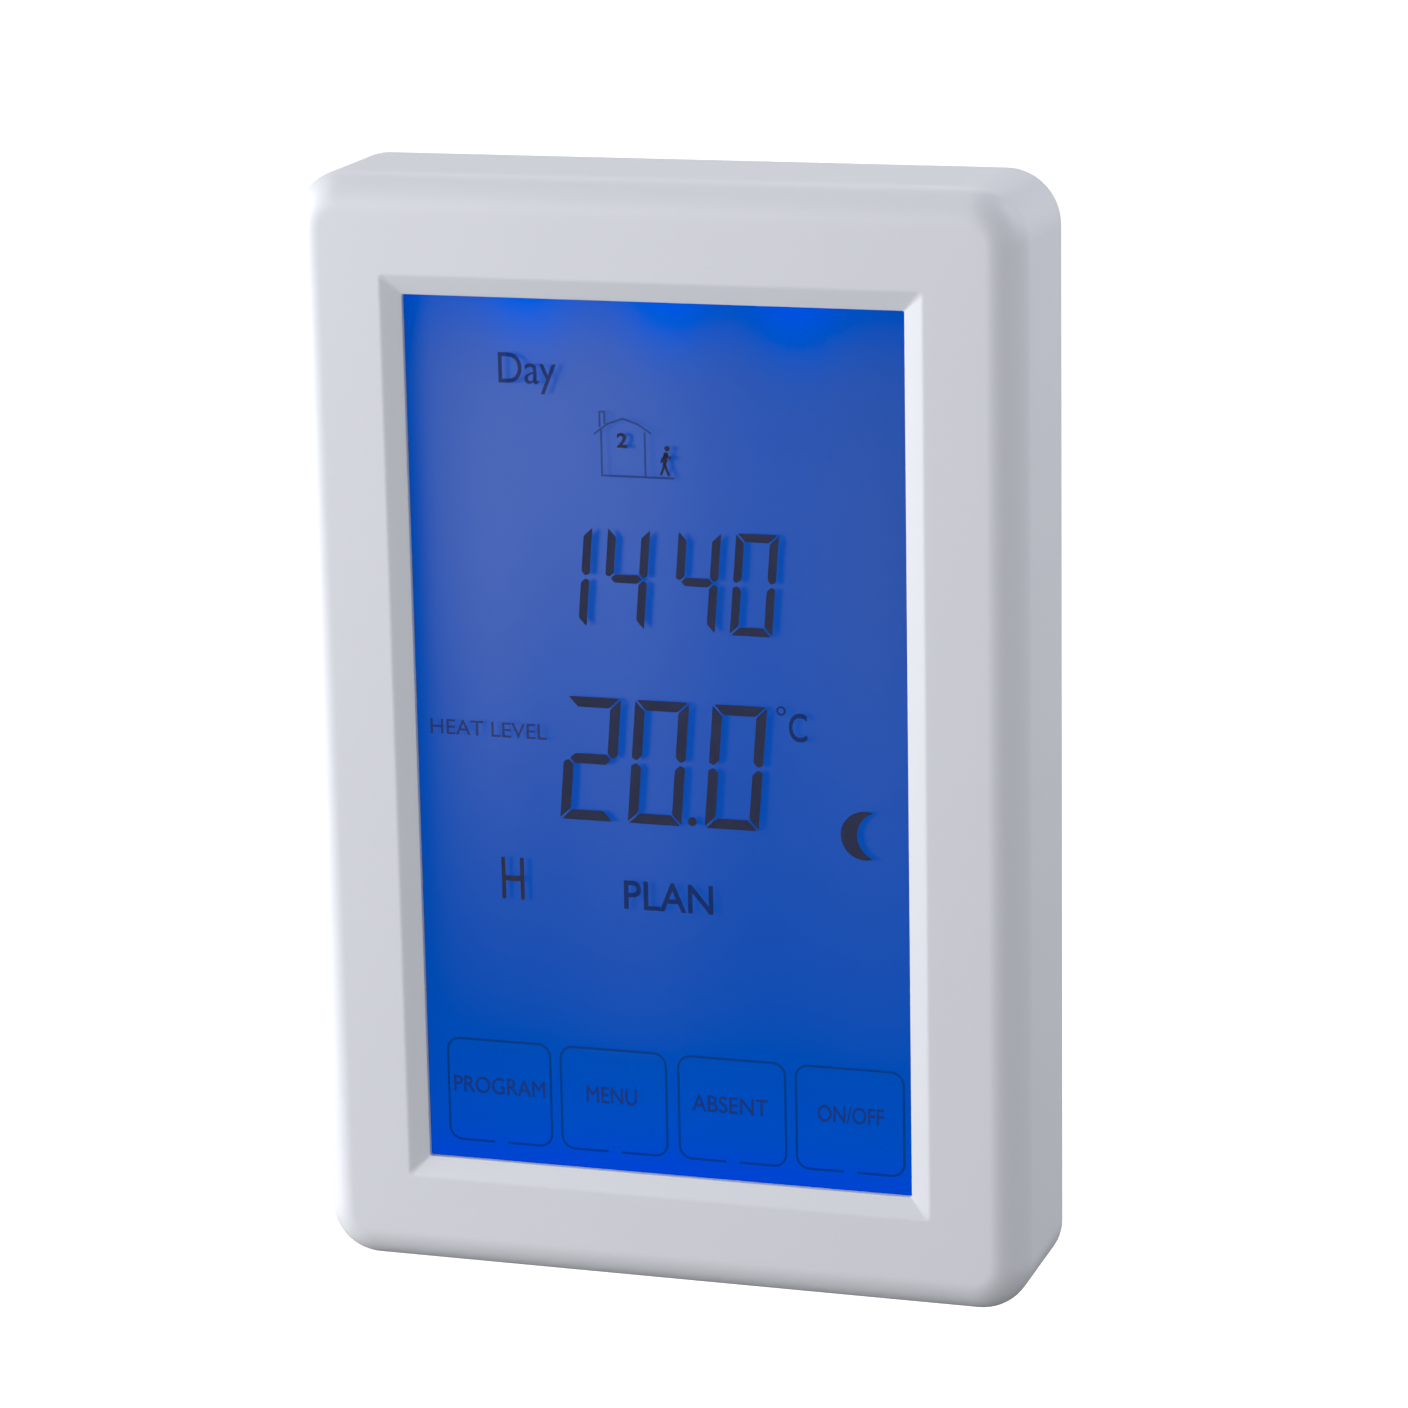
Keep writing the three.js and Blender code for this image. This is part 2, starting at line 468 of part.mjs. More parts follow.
function capacitor(r, height) {
  const can = [[0, 0], [r * 0.9, 0], [r, 0.6], [r, 1.6], [r * 0.92, 2], [r, 2.4], [r, height - 0.5]];
  return turned([...can, [r - 0.5, height], [0, height]], 24);
}
piece(wallBase, "main_capacitor", capacitor(5, 16), FINISH.chip, [-14, ON_POWER_Y, -2]);
piece(wallBase, "film_capacitor", slab(6, 16, [0, 12]), FINISH.yellow, [14.5, ON_POWER_Y, 18]);
const fuse = turned([[0, 0], [4.2, 0], [4.2, 7.4], [3.9, 7.8], [0, 7.8]], 20);
piece(wallBase, "fuse", fuse, FINISH.chip, [-2.5, ON_POWER_Y, 2]);

// A disc on two legs, standing across the board.
function varistor() {
  const [r, thickness, height] = [4.5, 3.6, 6.5];
  const cylinder = new THREE.CylinderGeometry(r, r, thickness, 24);
  const disc = solid(cylinder.rotateX(Math.PI / 2).translate(0, height, 0));
  return disc.add(together([-2.5, 2.5].map((x) => slab(0.8, 0.8, [0, 5], x))));
}
piece(wallBase, "varistor", varistor(), FINISH.blue, [-2.5, ON_POWER_Y, -13]);

// ---------------------------------------------------------------- terminals
// Each pole: the screw turns in place and draws the cage up towards its head, and the cage clamps the
// wire against the bar.
// Levels inside a pole, along y from the power board outwards.
const cageLow = ON_POWER_Y + 0.1;
const barLow = cageLow + CAGE.wall + CAGE.room;
const barHigh = barLow + CAGE.wall;
const cageHigh = barHigh + 2.35;
const ledgeLow = cageHigh + CAGE.travel + 0.1;
const ledgeHigh = ledgeLow + 1;
const headTop = ledgeHigh + 1.9;
const cavityEnd = CAGE.length / 2 + RUN;

function poleCut(x) {
  const half = CAGE.w / 2 + RUN;
  const z = POLE.z;
  const low = POWER_BACK_Y - 1;
  const cavity = block([x - half, x + half], [low, ledgeLow], [z - cavityEnd, z + cavityEnd]);
  const wireEntry = block([x - half, x + half], [low, barLow + 0.1], [TERMINAL.zLow - 1, z]);
  const legSlot = block([x - 2.2, x + 2.2], [low, barHigh + RUN], [z, z + cavityEnd + 1.4]);
  const neck = rod(1.75, [ledgeLow - 1, TERMINAL.back + 1], x, z, 14);
  const well = rod(2.7, [ledgeHigh, TERMINAL.back + 1], x, z, 18);
  return together([cavity, wireEntry, legSlot, neck, well]);
}
const poleX = [...Array(POLE.count).keys()].map((i) => (i - (POLE.count - 1) / 2) * POLE.pitch);

function terminalBlock() {
  const half = TERMINAL.w / 2;
  const body = block([-half, half], [ON_POWER_Y, TERMINAL.back], [TERMINAL.zLow, TERMINAL.zHigh]);
  return without(body, poleX.map(poleCut));
}
piece(wallBase, "terminal_block", terminalBlock(), FINISH.terminal);

function clampCage() {
  const half = CAGE.w / 2;
  const z = [-CAGE.length / 2, CAGE.length / 2];
  const outer = block([-half, half], [cageLow, cageHigh], z);
  const innerHalf = half - CAGE.wall;
  const inside = block([-innerHalf, innerHalf], [cageLow + CAGE.wall, cageHigh - 1], [z[0] - 1, z[1] + 1]);
  return without(outer, [inside, rod(1.4 + RUN, [cageHigh - 2, cageHigh + 1], 0, 0, 14)]);
}

function terminalScrew() {
  const head = ledgeHigh + 0.1;
  const shank = [[0, barHigh + 0.1], [1.4, barHigh + 0.1], [1.4, head]];
  const screw = turned([...shank, [2.35, head], [2.35, headTop - 0.3], [2.05, headTop], [0, headTop]], 18);
  return screw.subtract(slab(6, 0.7, [headTop - 0.8, headTop + 1]));
}

// The bar runs through the cage and its leg goes down to the power board.
function contactBar() {
  const legZ = cavityEnd + 0.4;
  const flat = block([-1.9, 1.9], [barLow, barHigh], [0.1 - cavityEnd, legZ + CAGE.wall]);
  return flat.add(block([-1.9, 1.9], [ON_POWER_Y, barHigh], [legZ, legZ + CAGE.wall]));
}

poleX.forEach((x, i) => {
  const place = [x, 0, POLE.z];
  piece(wallBase, `terminal_screw_${i + 1}`, terminalScrew(), FINISH.steel, place);
  piece(wallBase, `clamp_cage_${i + 1}`, clampCage(), FINISH.tin, place);
  piece(wallBase, `contact_bar_${i + 1}`, contactBar(), FINISH.brass, place);
});

export default thermostat;
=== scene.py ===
"""The looks of a wall thermostat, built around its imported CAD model.

The frame is in metres with +Z up. The wall plane is y = 0 and the viewer is on the -Y side.
Shapes are drawn in millimetres and scaled once, when their mesh is made.
"""

import math

import bmesh
import bpy
from mathutils import Matrix, Vector


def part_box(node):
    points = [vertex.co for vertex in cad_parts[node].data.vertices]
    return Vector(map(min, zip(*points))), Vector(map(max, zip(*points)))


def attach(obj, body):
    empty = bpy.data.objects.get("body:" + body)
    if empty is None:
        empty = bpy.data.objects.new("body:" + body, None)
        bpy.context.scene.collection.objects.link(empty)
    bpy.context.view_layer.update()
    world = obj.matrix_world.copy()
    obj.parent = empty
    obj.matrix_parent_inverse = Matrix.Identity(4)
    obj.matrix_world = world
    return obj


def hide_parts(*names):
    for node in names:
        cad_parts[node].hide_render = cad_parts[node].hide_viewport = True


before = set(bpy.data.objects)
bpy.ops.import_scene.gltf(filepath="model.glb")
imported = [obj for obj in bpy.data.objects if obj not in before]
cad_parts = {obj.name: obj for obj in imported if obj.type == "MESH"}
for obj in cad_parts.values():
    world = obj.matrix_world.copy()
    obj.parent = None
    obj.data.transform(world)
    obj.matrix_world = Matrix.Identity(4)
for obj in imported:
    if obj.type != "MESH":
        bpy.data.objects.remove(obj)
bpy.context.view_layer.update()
MM = 0.001
SHARP_ANGLE = math.radians(35)  # edges that turn more than this stay sharp


def limits(node):
    """A CAD node's limits in millimetres: (x0, x1), (y0, y1), (z0, z1)."""
    low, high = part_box(node)
    return [(a / MM, b / MM) for a, b in zip(low, high)]


def middle(span):
    return (span[0] + span[1]) / 2


# ---------------------------------------------------------------- camera, light and floor
def tint(colour, factor):
    """A colour made lighter or darker, with full cover."""
    return tuple(c * factor for c in colour) + (1,)


def aimed(place):
    """The matrix of a lamp at place whose beam points at the origin, the middle of the cover's back."""
    turn = (-Vector(place)).to_track_quat("-Z", "Y")
    return Matrix.Translation(place) @ turn.to_matrix().to_4x4()


CAMERA_PLACE = (0.15963, -0.50161, 0.13306)
CAMERA_YAW, CAMERA_DOWN, CAMERA_ROLL = 17.65, 14.09, -1.09
CAMERA_LENS = 127.98


def add_camera():
    camera = bpy.data.cameras.new("camera")
    camera.sensor_width = 36
    camera.lens = CAMERA_LENS
    camera.clip_start = 0.01
    holder = bpy.data.objects.new("camera", camera)
    yaw = Matrix.Rotation(math.radians(CAMERA_YAW), 4, "Z")
    pitch = Matrix.Rotation(math.radians(90 - CAMERA_DOWN), 4, "X")
    roll = Matrix.Rotation(math.radians(CAMERA_ROLL), 4, "Z")
    holder.matrix_world = Matrix.Translation(CAMERA_PLACE) @ yaw @ pitch @ roll
    bpy.context.scene.collection.objects.link(holder)
    bpy.context.scene.camera = holder


def area_lamp(name, place, side, watts, colour):
    lamp = bpy.data.lights.new(name, "AREA")
    lamp.shape = "RECTANGLE"
    lamp.size, lamp.size_y = side, side
    lamp.energy = watts
    lamp.color = colour
    holder = bpy.data.objects.new(name, lamp)
    holder.matrix_world = aimed(place)
    bpy.context.scene.collection.objects.link(holder)


ROOM_TINT = (0.975, 0.995, 1.035)
# how bright the room is, by height: 0 straight down, 0.5 at the horizon, 1 straight up
ROOM_LEVELS = ((0.25, 0.07), (0.4, 0.8), (0.6, 0.76), (0.63, 0.1), (0.9, 0.1), (1, 0.7))


def add_room_light():
    """A soft room: bright round the horizon and overhead, dim between them and almost dark below."""
    world = bpy.data.worlds.new("room")
    world.use_nodes = True
    tree = world.node_tree
    coords = tree.nodes.new("ShaderNodeTexCoord")
    parts = tree.nodes.new("ShaderNodeSeparateXYZ")
    height = tree.nodes.new("ShaderNodeMapRange")
    height.inputs["From Min"].default_value = -1
    ramp = tree.nodes.new("ShaderNodeValToRGB")
    stops = ramp.color_ramp.elements
    while len(stops) < len(ROOM_LEVELS):
        stops.new(0.5)
    for stop, (place, level) in zip(stops, ROOM_LEVELS):
        stop.position = place
        stop.color = tint(ROOM_TINT, level)
    tree.links.new(coords.outputs["Generated"], parts.inputs[0])
    tree.links.new(parts.outputs["Z"], height.inputs["Value"])
    tree.links.new(height.outputs[0], ramp.inputs[0])
    tree.links.new(ramp.outputs[0], tree.nodes["Background"].inputs["Color"])
    bpy.context.scene.world = world


def add_stage(name, mesh, level):
    """A plain lit surface that is only looked at: it neither lights the object nor shades it."""
    holder = bpy.data.objects.new(name, mesh)
    bpy.context.scene.collection.objects.link(holder)
    material = bpy.data.materials.new(name + "_white")
    material.use_nodes = True
    shader = material.node_tree.nodes["Principled BSDF"]
    shader.inputs["Base Color"].default_value = tint((0.9, 0.9, 0.9), level)
    shader.inputs["Emission Color"].default_value = tint((1, 1, 1), level)
    shader.inputs["Emission Strength"].default_value = 1
    mesh.materials.append(material)
    for ray in ("diffuse", "glossy", "transmission", "shadow"):
        setattr(holder, "visible_" + ray, False)


FLOOR_HALF, FLOOR_LEVEL = 60, -0.5
BACKDROP_RADIUS = 6.5


def add_surroundings():
    """A white floor below the hung object, and a pale round backdrop that closes the view above it."""
    floor = bpy.data.meshes.new("floor")
    corners = [(x * FLOOR_HALF, y * FLOOR_HALF, FLOOR_LEVEL) for x, y in ((-1, -1), (1, -1), (1, 1), (-1, 1))]
    floor.from_pydata(corners, [], [(0, 1, 2, 3)])
    add_stage("floor", floor, 1)
    bm = bmesh.new()
    bmesh.ops.create_icosphere(bm, subdivisions=4, radius=BACKDROP_RADIUS)
    backdrop = bpy.data.meshes.new("backdrop")
    bm.to_mesh(backdrop)
    bm.free()
    backdrop.shade_smooth()
    add_stage("backdrop", backdrop, 0.8)


add_camera()
add_room_light()
add_surroundings()
area_lamp("window_light", (-0.56, -0.156, 0.095), 0.45, 3.6, (1, 1, 1.01))
area_lamp("upper_light", (-0.16, -0.41, 0.14), 0.3, 0.37, (0.98, 1, 1.03))
area_lamp("side_light", (0.35, 0.12, 0.3), 0.3, 0.64, (0.96, 0.99, 1.08))
area_lamp("back_light", (-0.1, 0.5, 0.5), 0.5, 1.25, (0.98, 1, 1.03))
area_lamp("fill_light", (-0.15, -0.75, -0.3), 0.5, 0.25, (0.98, 1, 1.04))
bpy.context.scene.view_settings.view_transform = "Standard"


# ---------------------------------------------------------------- materials
class Paint:
    """One procedural material. Its patterns lie in the object's coordinates, in millimetres."""

    def __init__(self, name, **surface):
        self.material = bpy.data.materials.new(name)
        self.material.use_nodes = True
        self.tree = self.material.node_tree
        self.shader = self.tree.nodes["Principled BSDF"]
        for socket, value in surface.items():
            self.shader.inputs[socket.replace("_", " ")].default_value = value
        coords = self.node("ShaderNodeTexCoord")
        scaled = self.node("ShaderNodeVectorMath", operation="SCALE")
        scaled.inputs["Scale"].default_value = 1 / MM
        self.link(coords.outputs["Object"], scaled.inputs[0])
        self.place = scaled.outputs[0]
        parts = self.node("ShaderNodeSeparateXYZ")
        self.link(self.place, parts.inputs[0])
        self.x, self.y, self.z = parts.outputs

    def node(self, kind, **settings):
        made = self.tree.nodes.new(kind)
        for name, value in settings.items():
            setattr(made, name, value)
        return made

    def link(self, source, target):
        self.tree.links.new(source, target)

    def feed(self, socket, value):
        """Gives a socket another node's output, or a plain value."""
        if isinstance(value, bpy.types.NodeSocket):
            self.link(value, socket)
        else:
            socket.default_value = value

    def math(self, operation, *values):
        made = self.node("ShaderNodeMath", operation=operation)
        for socket, value in zip(made.inputs, values):
            self.feed(socket, value)
        return made.outputs[0]

    def noise(self, size, detail=2, stretch=(1, 1, 1)):
        """Soft noise from 0 to 1 whose blotches are about size millimetres wide."""
        stretched = self.node("ShaderNodeVectorMath", operation="MULTIPLY")
        self.link(self.place, stretched.inputs[0])
        stretched.inputs[1].default_value = stretch
        made = self.node("ShaderNodeTexNoise")
        made.inputs["Scale"].default_value = 1 / size
        made.inputs["Detail"].default_value = detail
        self.link(stretched.outputs[0], made.inputs["Vector"])
        return made.outputs["Fac"]

    def cells(self, size, metric="EUCLIDEAN", randomness=1.0):
        """The distance to the nearest of scattered points that lie about size millimetres apart."""
        made = self.node("ShaderNodeTexVoronoi", distance=metric)
        made.inputs["Scale"].default_value = 1 / size
        made.inputs["Randomness"].default_value = randomness
        self.link(self.place, made.inputs["Vector"])
        return made.outputs["Distance"]

    def between(self, value, low, high):
        """value, from 0 to 1, moved to the range from low to high."""
        made = self.node("ShaderNodeMapRange")
        self.link(value, made.inputs["Value"])
        made.inputs["To Min"].default_value = low
        made.inputs["To Max"].default_value = high
        return made.outputs[0]

    def mix(self, share, first, second):
        made = self.node("ShaderNodeMix", data_type="RGBA")
        self.feed(made.inputs[0], share)
        self.feed(made.inputs[6], first)
        self.feed(made.inputs[7], second)
        return made.outputs[2]

    def times(self, first, second):
        made = self.node("ShaderNodeMix", data_type="RGBA", blend_type="MULTIPLY")
        made.inputs[0].default_value = 1
        self.feed(made.inputs[6], first)
        self.feed(made.inputs[7], second)
        return made.outputs[2]

    def hill(self, centre, spread):
        """A smooth hill in x and z: 1 at its centre, and falling away as its spread says."""
        squares = []
        for axis, peak, width in zip((self.x, self.z), centre, spread):
            offset = self.math("DIVIDE", self.math("SUBTRACT", axis, peak), width)
            squares.append(self.math("MULTIPLY", offset, offset))
        return self.math("EXPONENT", self.math("MULTIPLY", self.math("ADD", *squares), -1))

    def layered(self, base, layers):
        """A base colour with (share, colour) layers added to it."""
        total = base
        for share, colour in layers:
            part = self.node("ShaderNodeVectorMath", operation="SCALE")
            part.inputs[0].default_value = colour
            self.link(share, part.inputs["Scale"])
            added = self.node("ShaderNodeVectorMath", operation="ADD")
            self.feed(added.inputs[0], total)
            self.link(part.outputs[0], added.inputs[1])
            total = added.outputs[0]
        return total

    def set(self, socket, value):
        self.link(value, self.shader.inputs[socket])

    def join(self, share, first, second):
        """Shows a mix of two shaders instead of the plain one."""
        made = self.node("ShaderNodeMixShader")
        for socket, value in zip(made.inputs, (share, first.outputs[0], second.outputs[0])):
            self.link(value, socket)
        self.link(made.outputs[0], self.tree.nodes["Material Output"].inputs["Surface"])

    def see_through(self, tone):
        """A shader that lets light through and tints it."""
        made = self.node("ShaderNodeBsdfTransparent")
        made.inputs["Color"].default_value = tone
        return made

    def bump(self, height, depth):
        """Relief of up to depth millimetres."""
        made = self.node("ShaderNodeBump")
        made.inputs["Distance"].default_value = depth * MM
        self.link(height, made.inputs["Height"])
        self.set("Normal", made.outputs[0])


def moulded(name, colour, roughness=0.45, shift=0.04, grain=0.35, depth=0.006):
    """Moulded plastic: an uneven tint, a fine skin texture and a gloss that wanders a little."""
    paint = Paint(name)
    dark, light = tint(colour, 1 - shift), tint(colour, 1 + shift)
    paint.set("Base Color", paint.mix(paint.noise(18, 3), dark, light))
    paint.set("Roughness", paint.between(paint.noise(9), roughness - 0.05, roughness + 0.05))
    paint.bump(paint.noise(grain, 4), depth)
    return paint.material


def plated(name, colour, roughness, streak=(1, 1, 1)):
    """Plated or stamped metal: fine streaks and faint blotches."""
    paint = Paint(name, Metallic=1)
    blotches = paint.noise(4, 4)
    lines = paint.noise(0.5, 3, streak)
    paint.set("Base Color", paint.mix(blotches, tint(colour, 0.82), tint(colour, 1.08)))
    paint.set("Roughness", paint.between(lines, roughness - 0.1, roughness + 0.14))
    paint.bump(lines, 0.01)
    return paint.material


def circuit_board(name):
    """Green solder mask over copper tracks, with small tinned holes."""
    paint = Paint(name)
    rings = paint.math("SINE", paint.math("MULTIPLY", paint.cells(9, "CHEBYCHEV", 0.85), 55))
    tracks = paint.math("GREATER_THAN", rings, 0.25)
    speck = paint.math("LESS_THAN", paint.cells(5.5), 0.075)
    green = paint.mix(tracks, (0.006, 0.075, 0.028, 1), (0.012, 0.135, 0.05, 1))
    uneven = paint.mix(paint.noise(12, 3), (0.75, 0.75, 0.75, 1), (1.1, 1.1, 1.1, 1))
    paint.set("Base Color", paint.mix(speck, paint.times(green, uneven), (0.62, 0.6, 0.55, 1)))
    paint.set("Metallic", speck)
    paint.set("Roughness", paint.between(paint.noise(3), 0.28, 0.42))
    paint.bump(tracks, 0.03)
    return paint.material


def clear(name, tone, roughness, gloss):
    """Clear sheet: mostly see-through, with a soft film of gloss."""
    paint = Paint(name, Base_Color=(0.9, 0.93, 1, 1))
    paint.set("Roughness", paint.between(paint.noise(6, 3), roughness - 0.03, roughness + 0.03))
    edge_on = paint.node("ShaderNodeLayerWeight")
    edge_on.inputs["Blend"].default_value = 0.12
    film = paint.math("MULTIPLY", edge_on.outputs["Fresnel"], gloss)
    paint.join(film, paint.see_through(tone), paint.shader)
    return paint.material


MILK = (0.0845, 0.079, 0.052)
HAZE_SHARE = 0.28
# painted light: where the milky haze on the display lies brighter, painted into its base colour, which the
# display wash lamp lights: centre and spread in x and z, and strength
PAINTED_HAZE_PLACES = (
    ((-12, 36), (20, 26), 0.75),
    ((-21, 10), (7, 28), 0.45),
    ((-5, 0), (12, 30), 0.38),
    ((22.5, 18), (14, 40), 0.36),
)


def display_glow():
    """The blue-lit ground of the display: hot spots by its lamps, a milky haze from the room's light whose
    brighter patches are painted light in its base colour, and painted shade that takes the haze away along
    its left edge.
    """
    paint = Paint("display_glow", Roughness=0.9, Emission_Strength=1, Specular_IOR_Level=0)
    top, bottom = 48.5, -49.5
    layers = [
        (paint.hill((0, top), (60, 5.6)), (-0.025, -0.01, 0.109)),
        (paint.hill((0, bottom), (60, 14)), (-0.02, -0.002, 0.12)),
        (paint.hill((0, bottom + 1), (60, 2.6)), (0, -0.012, 0.11)),
        (paint.hill((26, 22), (9, 25)), (0, -0.006, -0.05)),
    ]
    for lamp_x in (-14.6, 0.8, 14.8):
        layers.append((paint.hill((lamp_x, top + 1), (4.6, 7)), (-0.035, 0.005, 0.25)))
    glow = paint.layered((0.001, 0.0718, 0.434), layers)
    mottle = paint.mix(paint.noise(9, 4), (0.97, 0.97, 0.98, 1), (1.03, 1.03, 1.02, 1))
    paint.set("Emission Color", paint.times(glow, mottle))
    # painted light: the haze's brighter patches go into the base colour
    haze = []
    for place, spread, strength in PAINTED_HAZE_PLACES:
        haze.append((paint.hill(place, spread), tuple(HAZE_SHARE * strength * c for c in MILK)))
    painted_haze = paint.times(paint.layered((0, 0, 0), haze), mottle)
    # painted shade: the haze fades to black along the display's left edge
    shaded_edge = paint.hill((-28.4, 0), (1.8, 300))
    paint.set("Base Color", paint.mix(shaded_edge, painted_haze, (0, 0, 0, 1)))
    return paint.material


def ink(name, colour, clearness=0.0, tone=(1, 1, 1, 1)):
    """The dark marks of the display, some of them mostly see-through, all of them glowing faintly in their
    own colour as painted light.
    """
    paint = Paint(name, Roughness=0.55, Emission_Strength=0.45, Specular_IOR_Level=0.1)
    shade = paint.mix(paint.noise(5, 2), tint(colour, 0.85), tint(colour, 1.15))
    paint.set("Base Color", shade)
    # painted light: the marks glow faintly in their own colour
    paint.set("Emission Color", shade)
    if clearness:
        share = paint.between(paint.noise(3), clearness - 0.04, clearness + 0.04)
        paint.join(share, paint.shader, paint.see_through(tone))
    return paint.material


WHITE = moulded("cover_white", (0.80, 0.81, 0.845), 0.42, shift=0.012, depth=0.004)
BASE_WHITE = moulded("base_white", (0.70, 0.71, 0.73), 0.52, grain=0.6, depth=0.01)
TRAY_WHITE = moulded("tray_white", (0.82, 0.82, 0.80), 0.5)
BLACK = moulded("black_plastic", (0.018, 0.018, 0.02), 0.5, shift=0.2)
CHARCOAL = moulded("housing_charcoal", (0.042, 0.044, 0.048), 0.58, shift=0.12, grain=0.7, depth=0.03)
FOAM = moulded("foam_black", (0.02, 0.02, 0.022), 0.95, shift=0.3, grain=0.3, depth=0.08)
SILICONE = moulded("silicone_pink", (0.62, 0.3, 0.33), 0.75, shift=0.1)
ORANGE_FILM = moulded("polyimide_film", (0.52, 0.22, 0.04), 0.3, shift=0.1)
RELAY_BLUE = moulded("relay_blue", (0.02, 0.09, 0.36), 0.4, shift=0.1)
TAPE_YELLOW = moulded("tape_yellow", (0.75, 0.47, 0.05), 0.4, shift=0.1)
TERMINAL_GREEN = moulded("terminal_green", (0.02, 0.2, 0.075), 0.45, shift=0.1)
CERAMIC = moulded("ceramic_tan", (0.4, 0.27, 0.16), 0.5, shift=0.12)
ACRYLIC = moulded("acrylic_blue", (0.1, 0.3, 0.8), 0.15, shift=0.1)
ZINC = plated("zinc_plate", (0.62, 0.63, 0.65), 0.34, (1, 1, 6))
BRIGHT_STEEL = plated("bright_steel", (0.68, 0.69, 0.7), 0.25)
BRASS = plated("brass_strip", (0.75, 0.53, 0.22), 0.3)
TIN = plated("tinned_metal", (0.72, 0.71, 0.68), 0.3)
BOARD = circuit_board("board_green")
TOUCH = clear("touch_clear", (0.985, 0.99, 1, 1), 0.22, 0.06)
GLOW = display_glow()
INK = ink("display_ink", (0.024, 0.027, 0.056))
FAINT_INK = ink("display_faint_ink", (0.014, 0.014, 0.04), 0.75, (0.8, 0.72, 0.68, 1))
CAPTION_INK = ink("display_caption_ink", (0.055, 0.028, 0.045), 0.75, (0.82, 0.76, 0.72, 1))
LINE_INK = ink("display_line_ink", (0.02, 0.03, 0.06), 0.85, (0.88, 0.82, 0.78, 1))


# ---------------------------------------------------------------- mesh helpers, in millimetres
def smoothed(mesh):
    """Shaded smooth, apart from its sharp edges."""
    mesh.shade_smooth()
    mesh.set_sharp_from_angle(angle=SHARP_ANGLE)
    return mesh


def scaled_mesh(name, bm):
    """A clean mesh in metres from shapes drawn in millimetres."""
    bmesh.ops.remove_doubles(bm, verts=bm.verts, dist=1e-5)
    bmesh.ops.recalc_face_normals(bm, faces=bm.faces)
    bmesh.ops.scale(bm, vec=(MM, MM, MM), verts=bm.verts)
    mesh = bpy.data.meshes.new(name)
    bm.to_mesh(mesh)
    bm.free()
    return smoothed(mesh)


def add_piece(name, mesh, body, slot, material, replaces=()):
    """Puts a mesh in the scene as a piece of the object."""
    made = bpy.data.objects.new(name, mesh)
    bpy.context.scene.collection.objects.link(made)
    mesh.materials.clear()
    mesh.materials.append(material)
    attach(made, body)
    if replaces:
        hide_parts(*replaces)
    even_normals(made)
    return made


def even_normals(piece):
    """Lets the large faces set the shading, so that flat faces look flat beside rounded edges."""
    weights = piece.modifiers.new("even_normals", "WEIGHTED_NORMAL")
    weights.keep_sharp = True


def boolean(mesh, operation, tools):
    """A mesh cut by, or joined with, other meshes."""
    holder = bpy.data.objects.new("boolean_holder", mesh)
    bpy.context.scene.collection.objects.link(holder)
    helpers = []
    for tool in tools:
        helper = bpy.data.objects.new("boolean_tool", tool)
        bpy.context.scene.collection.objects.link(helper)
        helpers.append(helper)
        step = holder.modifiers.new("step", "BOOLEAN")
        step.operation = operation
        step.solver = "EXACT"
        step.object = helper
    ready = holder.evaluated_get(bpy.context.evaluated_depsgraph_get())
    result = bpy.data.meshes.new_from_object(ready)
    for temporary in [holder, *helpers]:
        bpy.data.objects.remove(temporary)
    return smoothed(result)


def loft(bm, rings, closed=True):
    """Joins rings of equally many points, one to the next and the last to the first if closed."""
    made = [[bm.verts.new(p) for p in ring] for ring in rings]
    count = len(made[0])
    pairs = list(zip(made, made[1:] + made[:1])) if closed else list(zip(made, made[1:]))
    for low, high in pairs:
        for i in range(count):
            j = (i + 1) % count
            bm.faces.new((low[i], low[j], high[j], high[i]))
    return made


CORNERS = ((1, 1), (-1, 1), (-1, -1), (1, -1))


def rounded_ring(w, h, r, y, steps=14):
    """A rounded rectangle in the face plane, w by h, at depth y."""
    ring = []
    for quarter, (sx, sz) in enumerate(CORNERS):
        for step in range(steps + 1):
            angle = math.radians(90 * (quarter + step / steps))
            x = sx * (w / 2 - r) + r * math.cos(angle)
            z = sz * (h / 2 - r) + r * math.sin(angle)
            ring.append((x, y, z))
    return ring


# a prism's axes: the outline's two, and the one along it
PLANES = {"y": (0, 2, 1), "z": (0, 1, 2)}


def prism(bm, outline, along, low, high):
    """Adds a closed prism: an outline in two axes, drawn out from low to high along the third."""
    first, second, third = PLANES[along]
    ends = []
    for level in (low, high):
        ring = []
        for a, b in outline:
            point = [0, 0, 0]
            point[first], point[second], point[third] = a, b, level
            ring.append(bm.verts.new(point))
        ends.append(ring)
    count = len(outline)
    for i in range(count):
        j = (i + 1) % count
        bm.faces.new((ends[0][i], ends[0][j], ends[1][j], ends[1][i]))
    for ring in ends:
        bm.faces.new(ring)


def capsule(w, h, x=0, z=0, steps=8):
    """An upright slot with round ends."""
    r = w / 2
    points = []
    for start, centre in ((0, z + h / 2 - r), (180, z - h / 2 + r)):
        for step in range(steps + 1):
            angle = math.radians(start + 180 * step / steps)
            points.append((x + r * math.cos(angle), centre + r * math.sin(angle)))
    return points


def oblong(x0, x1, z0, z1):
    return [(x0, z0), (x1, z0), (x1, z1), (x0, z1)]


def disc(r, x=0, z=0, sides=24):
    angles = [2 * math.pi * i / sides for i in range(sides)]
    return [(x + r * math.cos(a), z + r * math.sin(a)) for a in angles]


def softened(outline, r, steps=3):
    """An outline whose corners are rounded off by about r."""
    points = []
    count = len(outline)
    for i in range(count):
        here = Vector(outline[i])
        before, after = Vector(outline[i - 1]), Vector(outline[(i + 1) % count])
        reach = min(r, (before - here).length / 2.2, (after - here).length / 2.2)
        start = here + (before - here).normalized() * reach
        end = here + (after - here).normalized() * reach
        for step in range(steps + 1):
            t = step / steps
            points.append(tuple(start * (1 - t) ** 2 + here * 2 * t * (1 - t) + end * t ** 2))
    return points


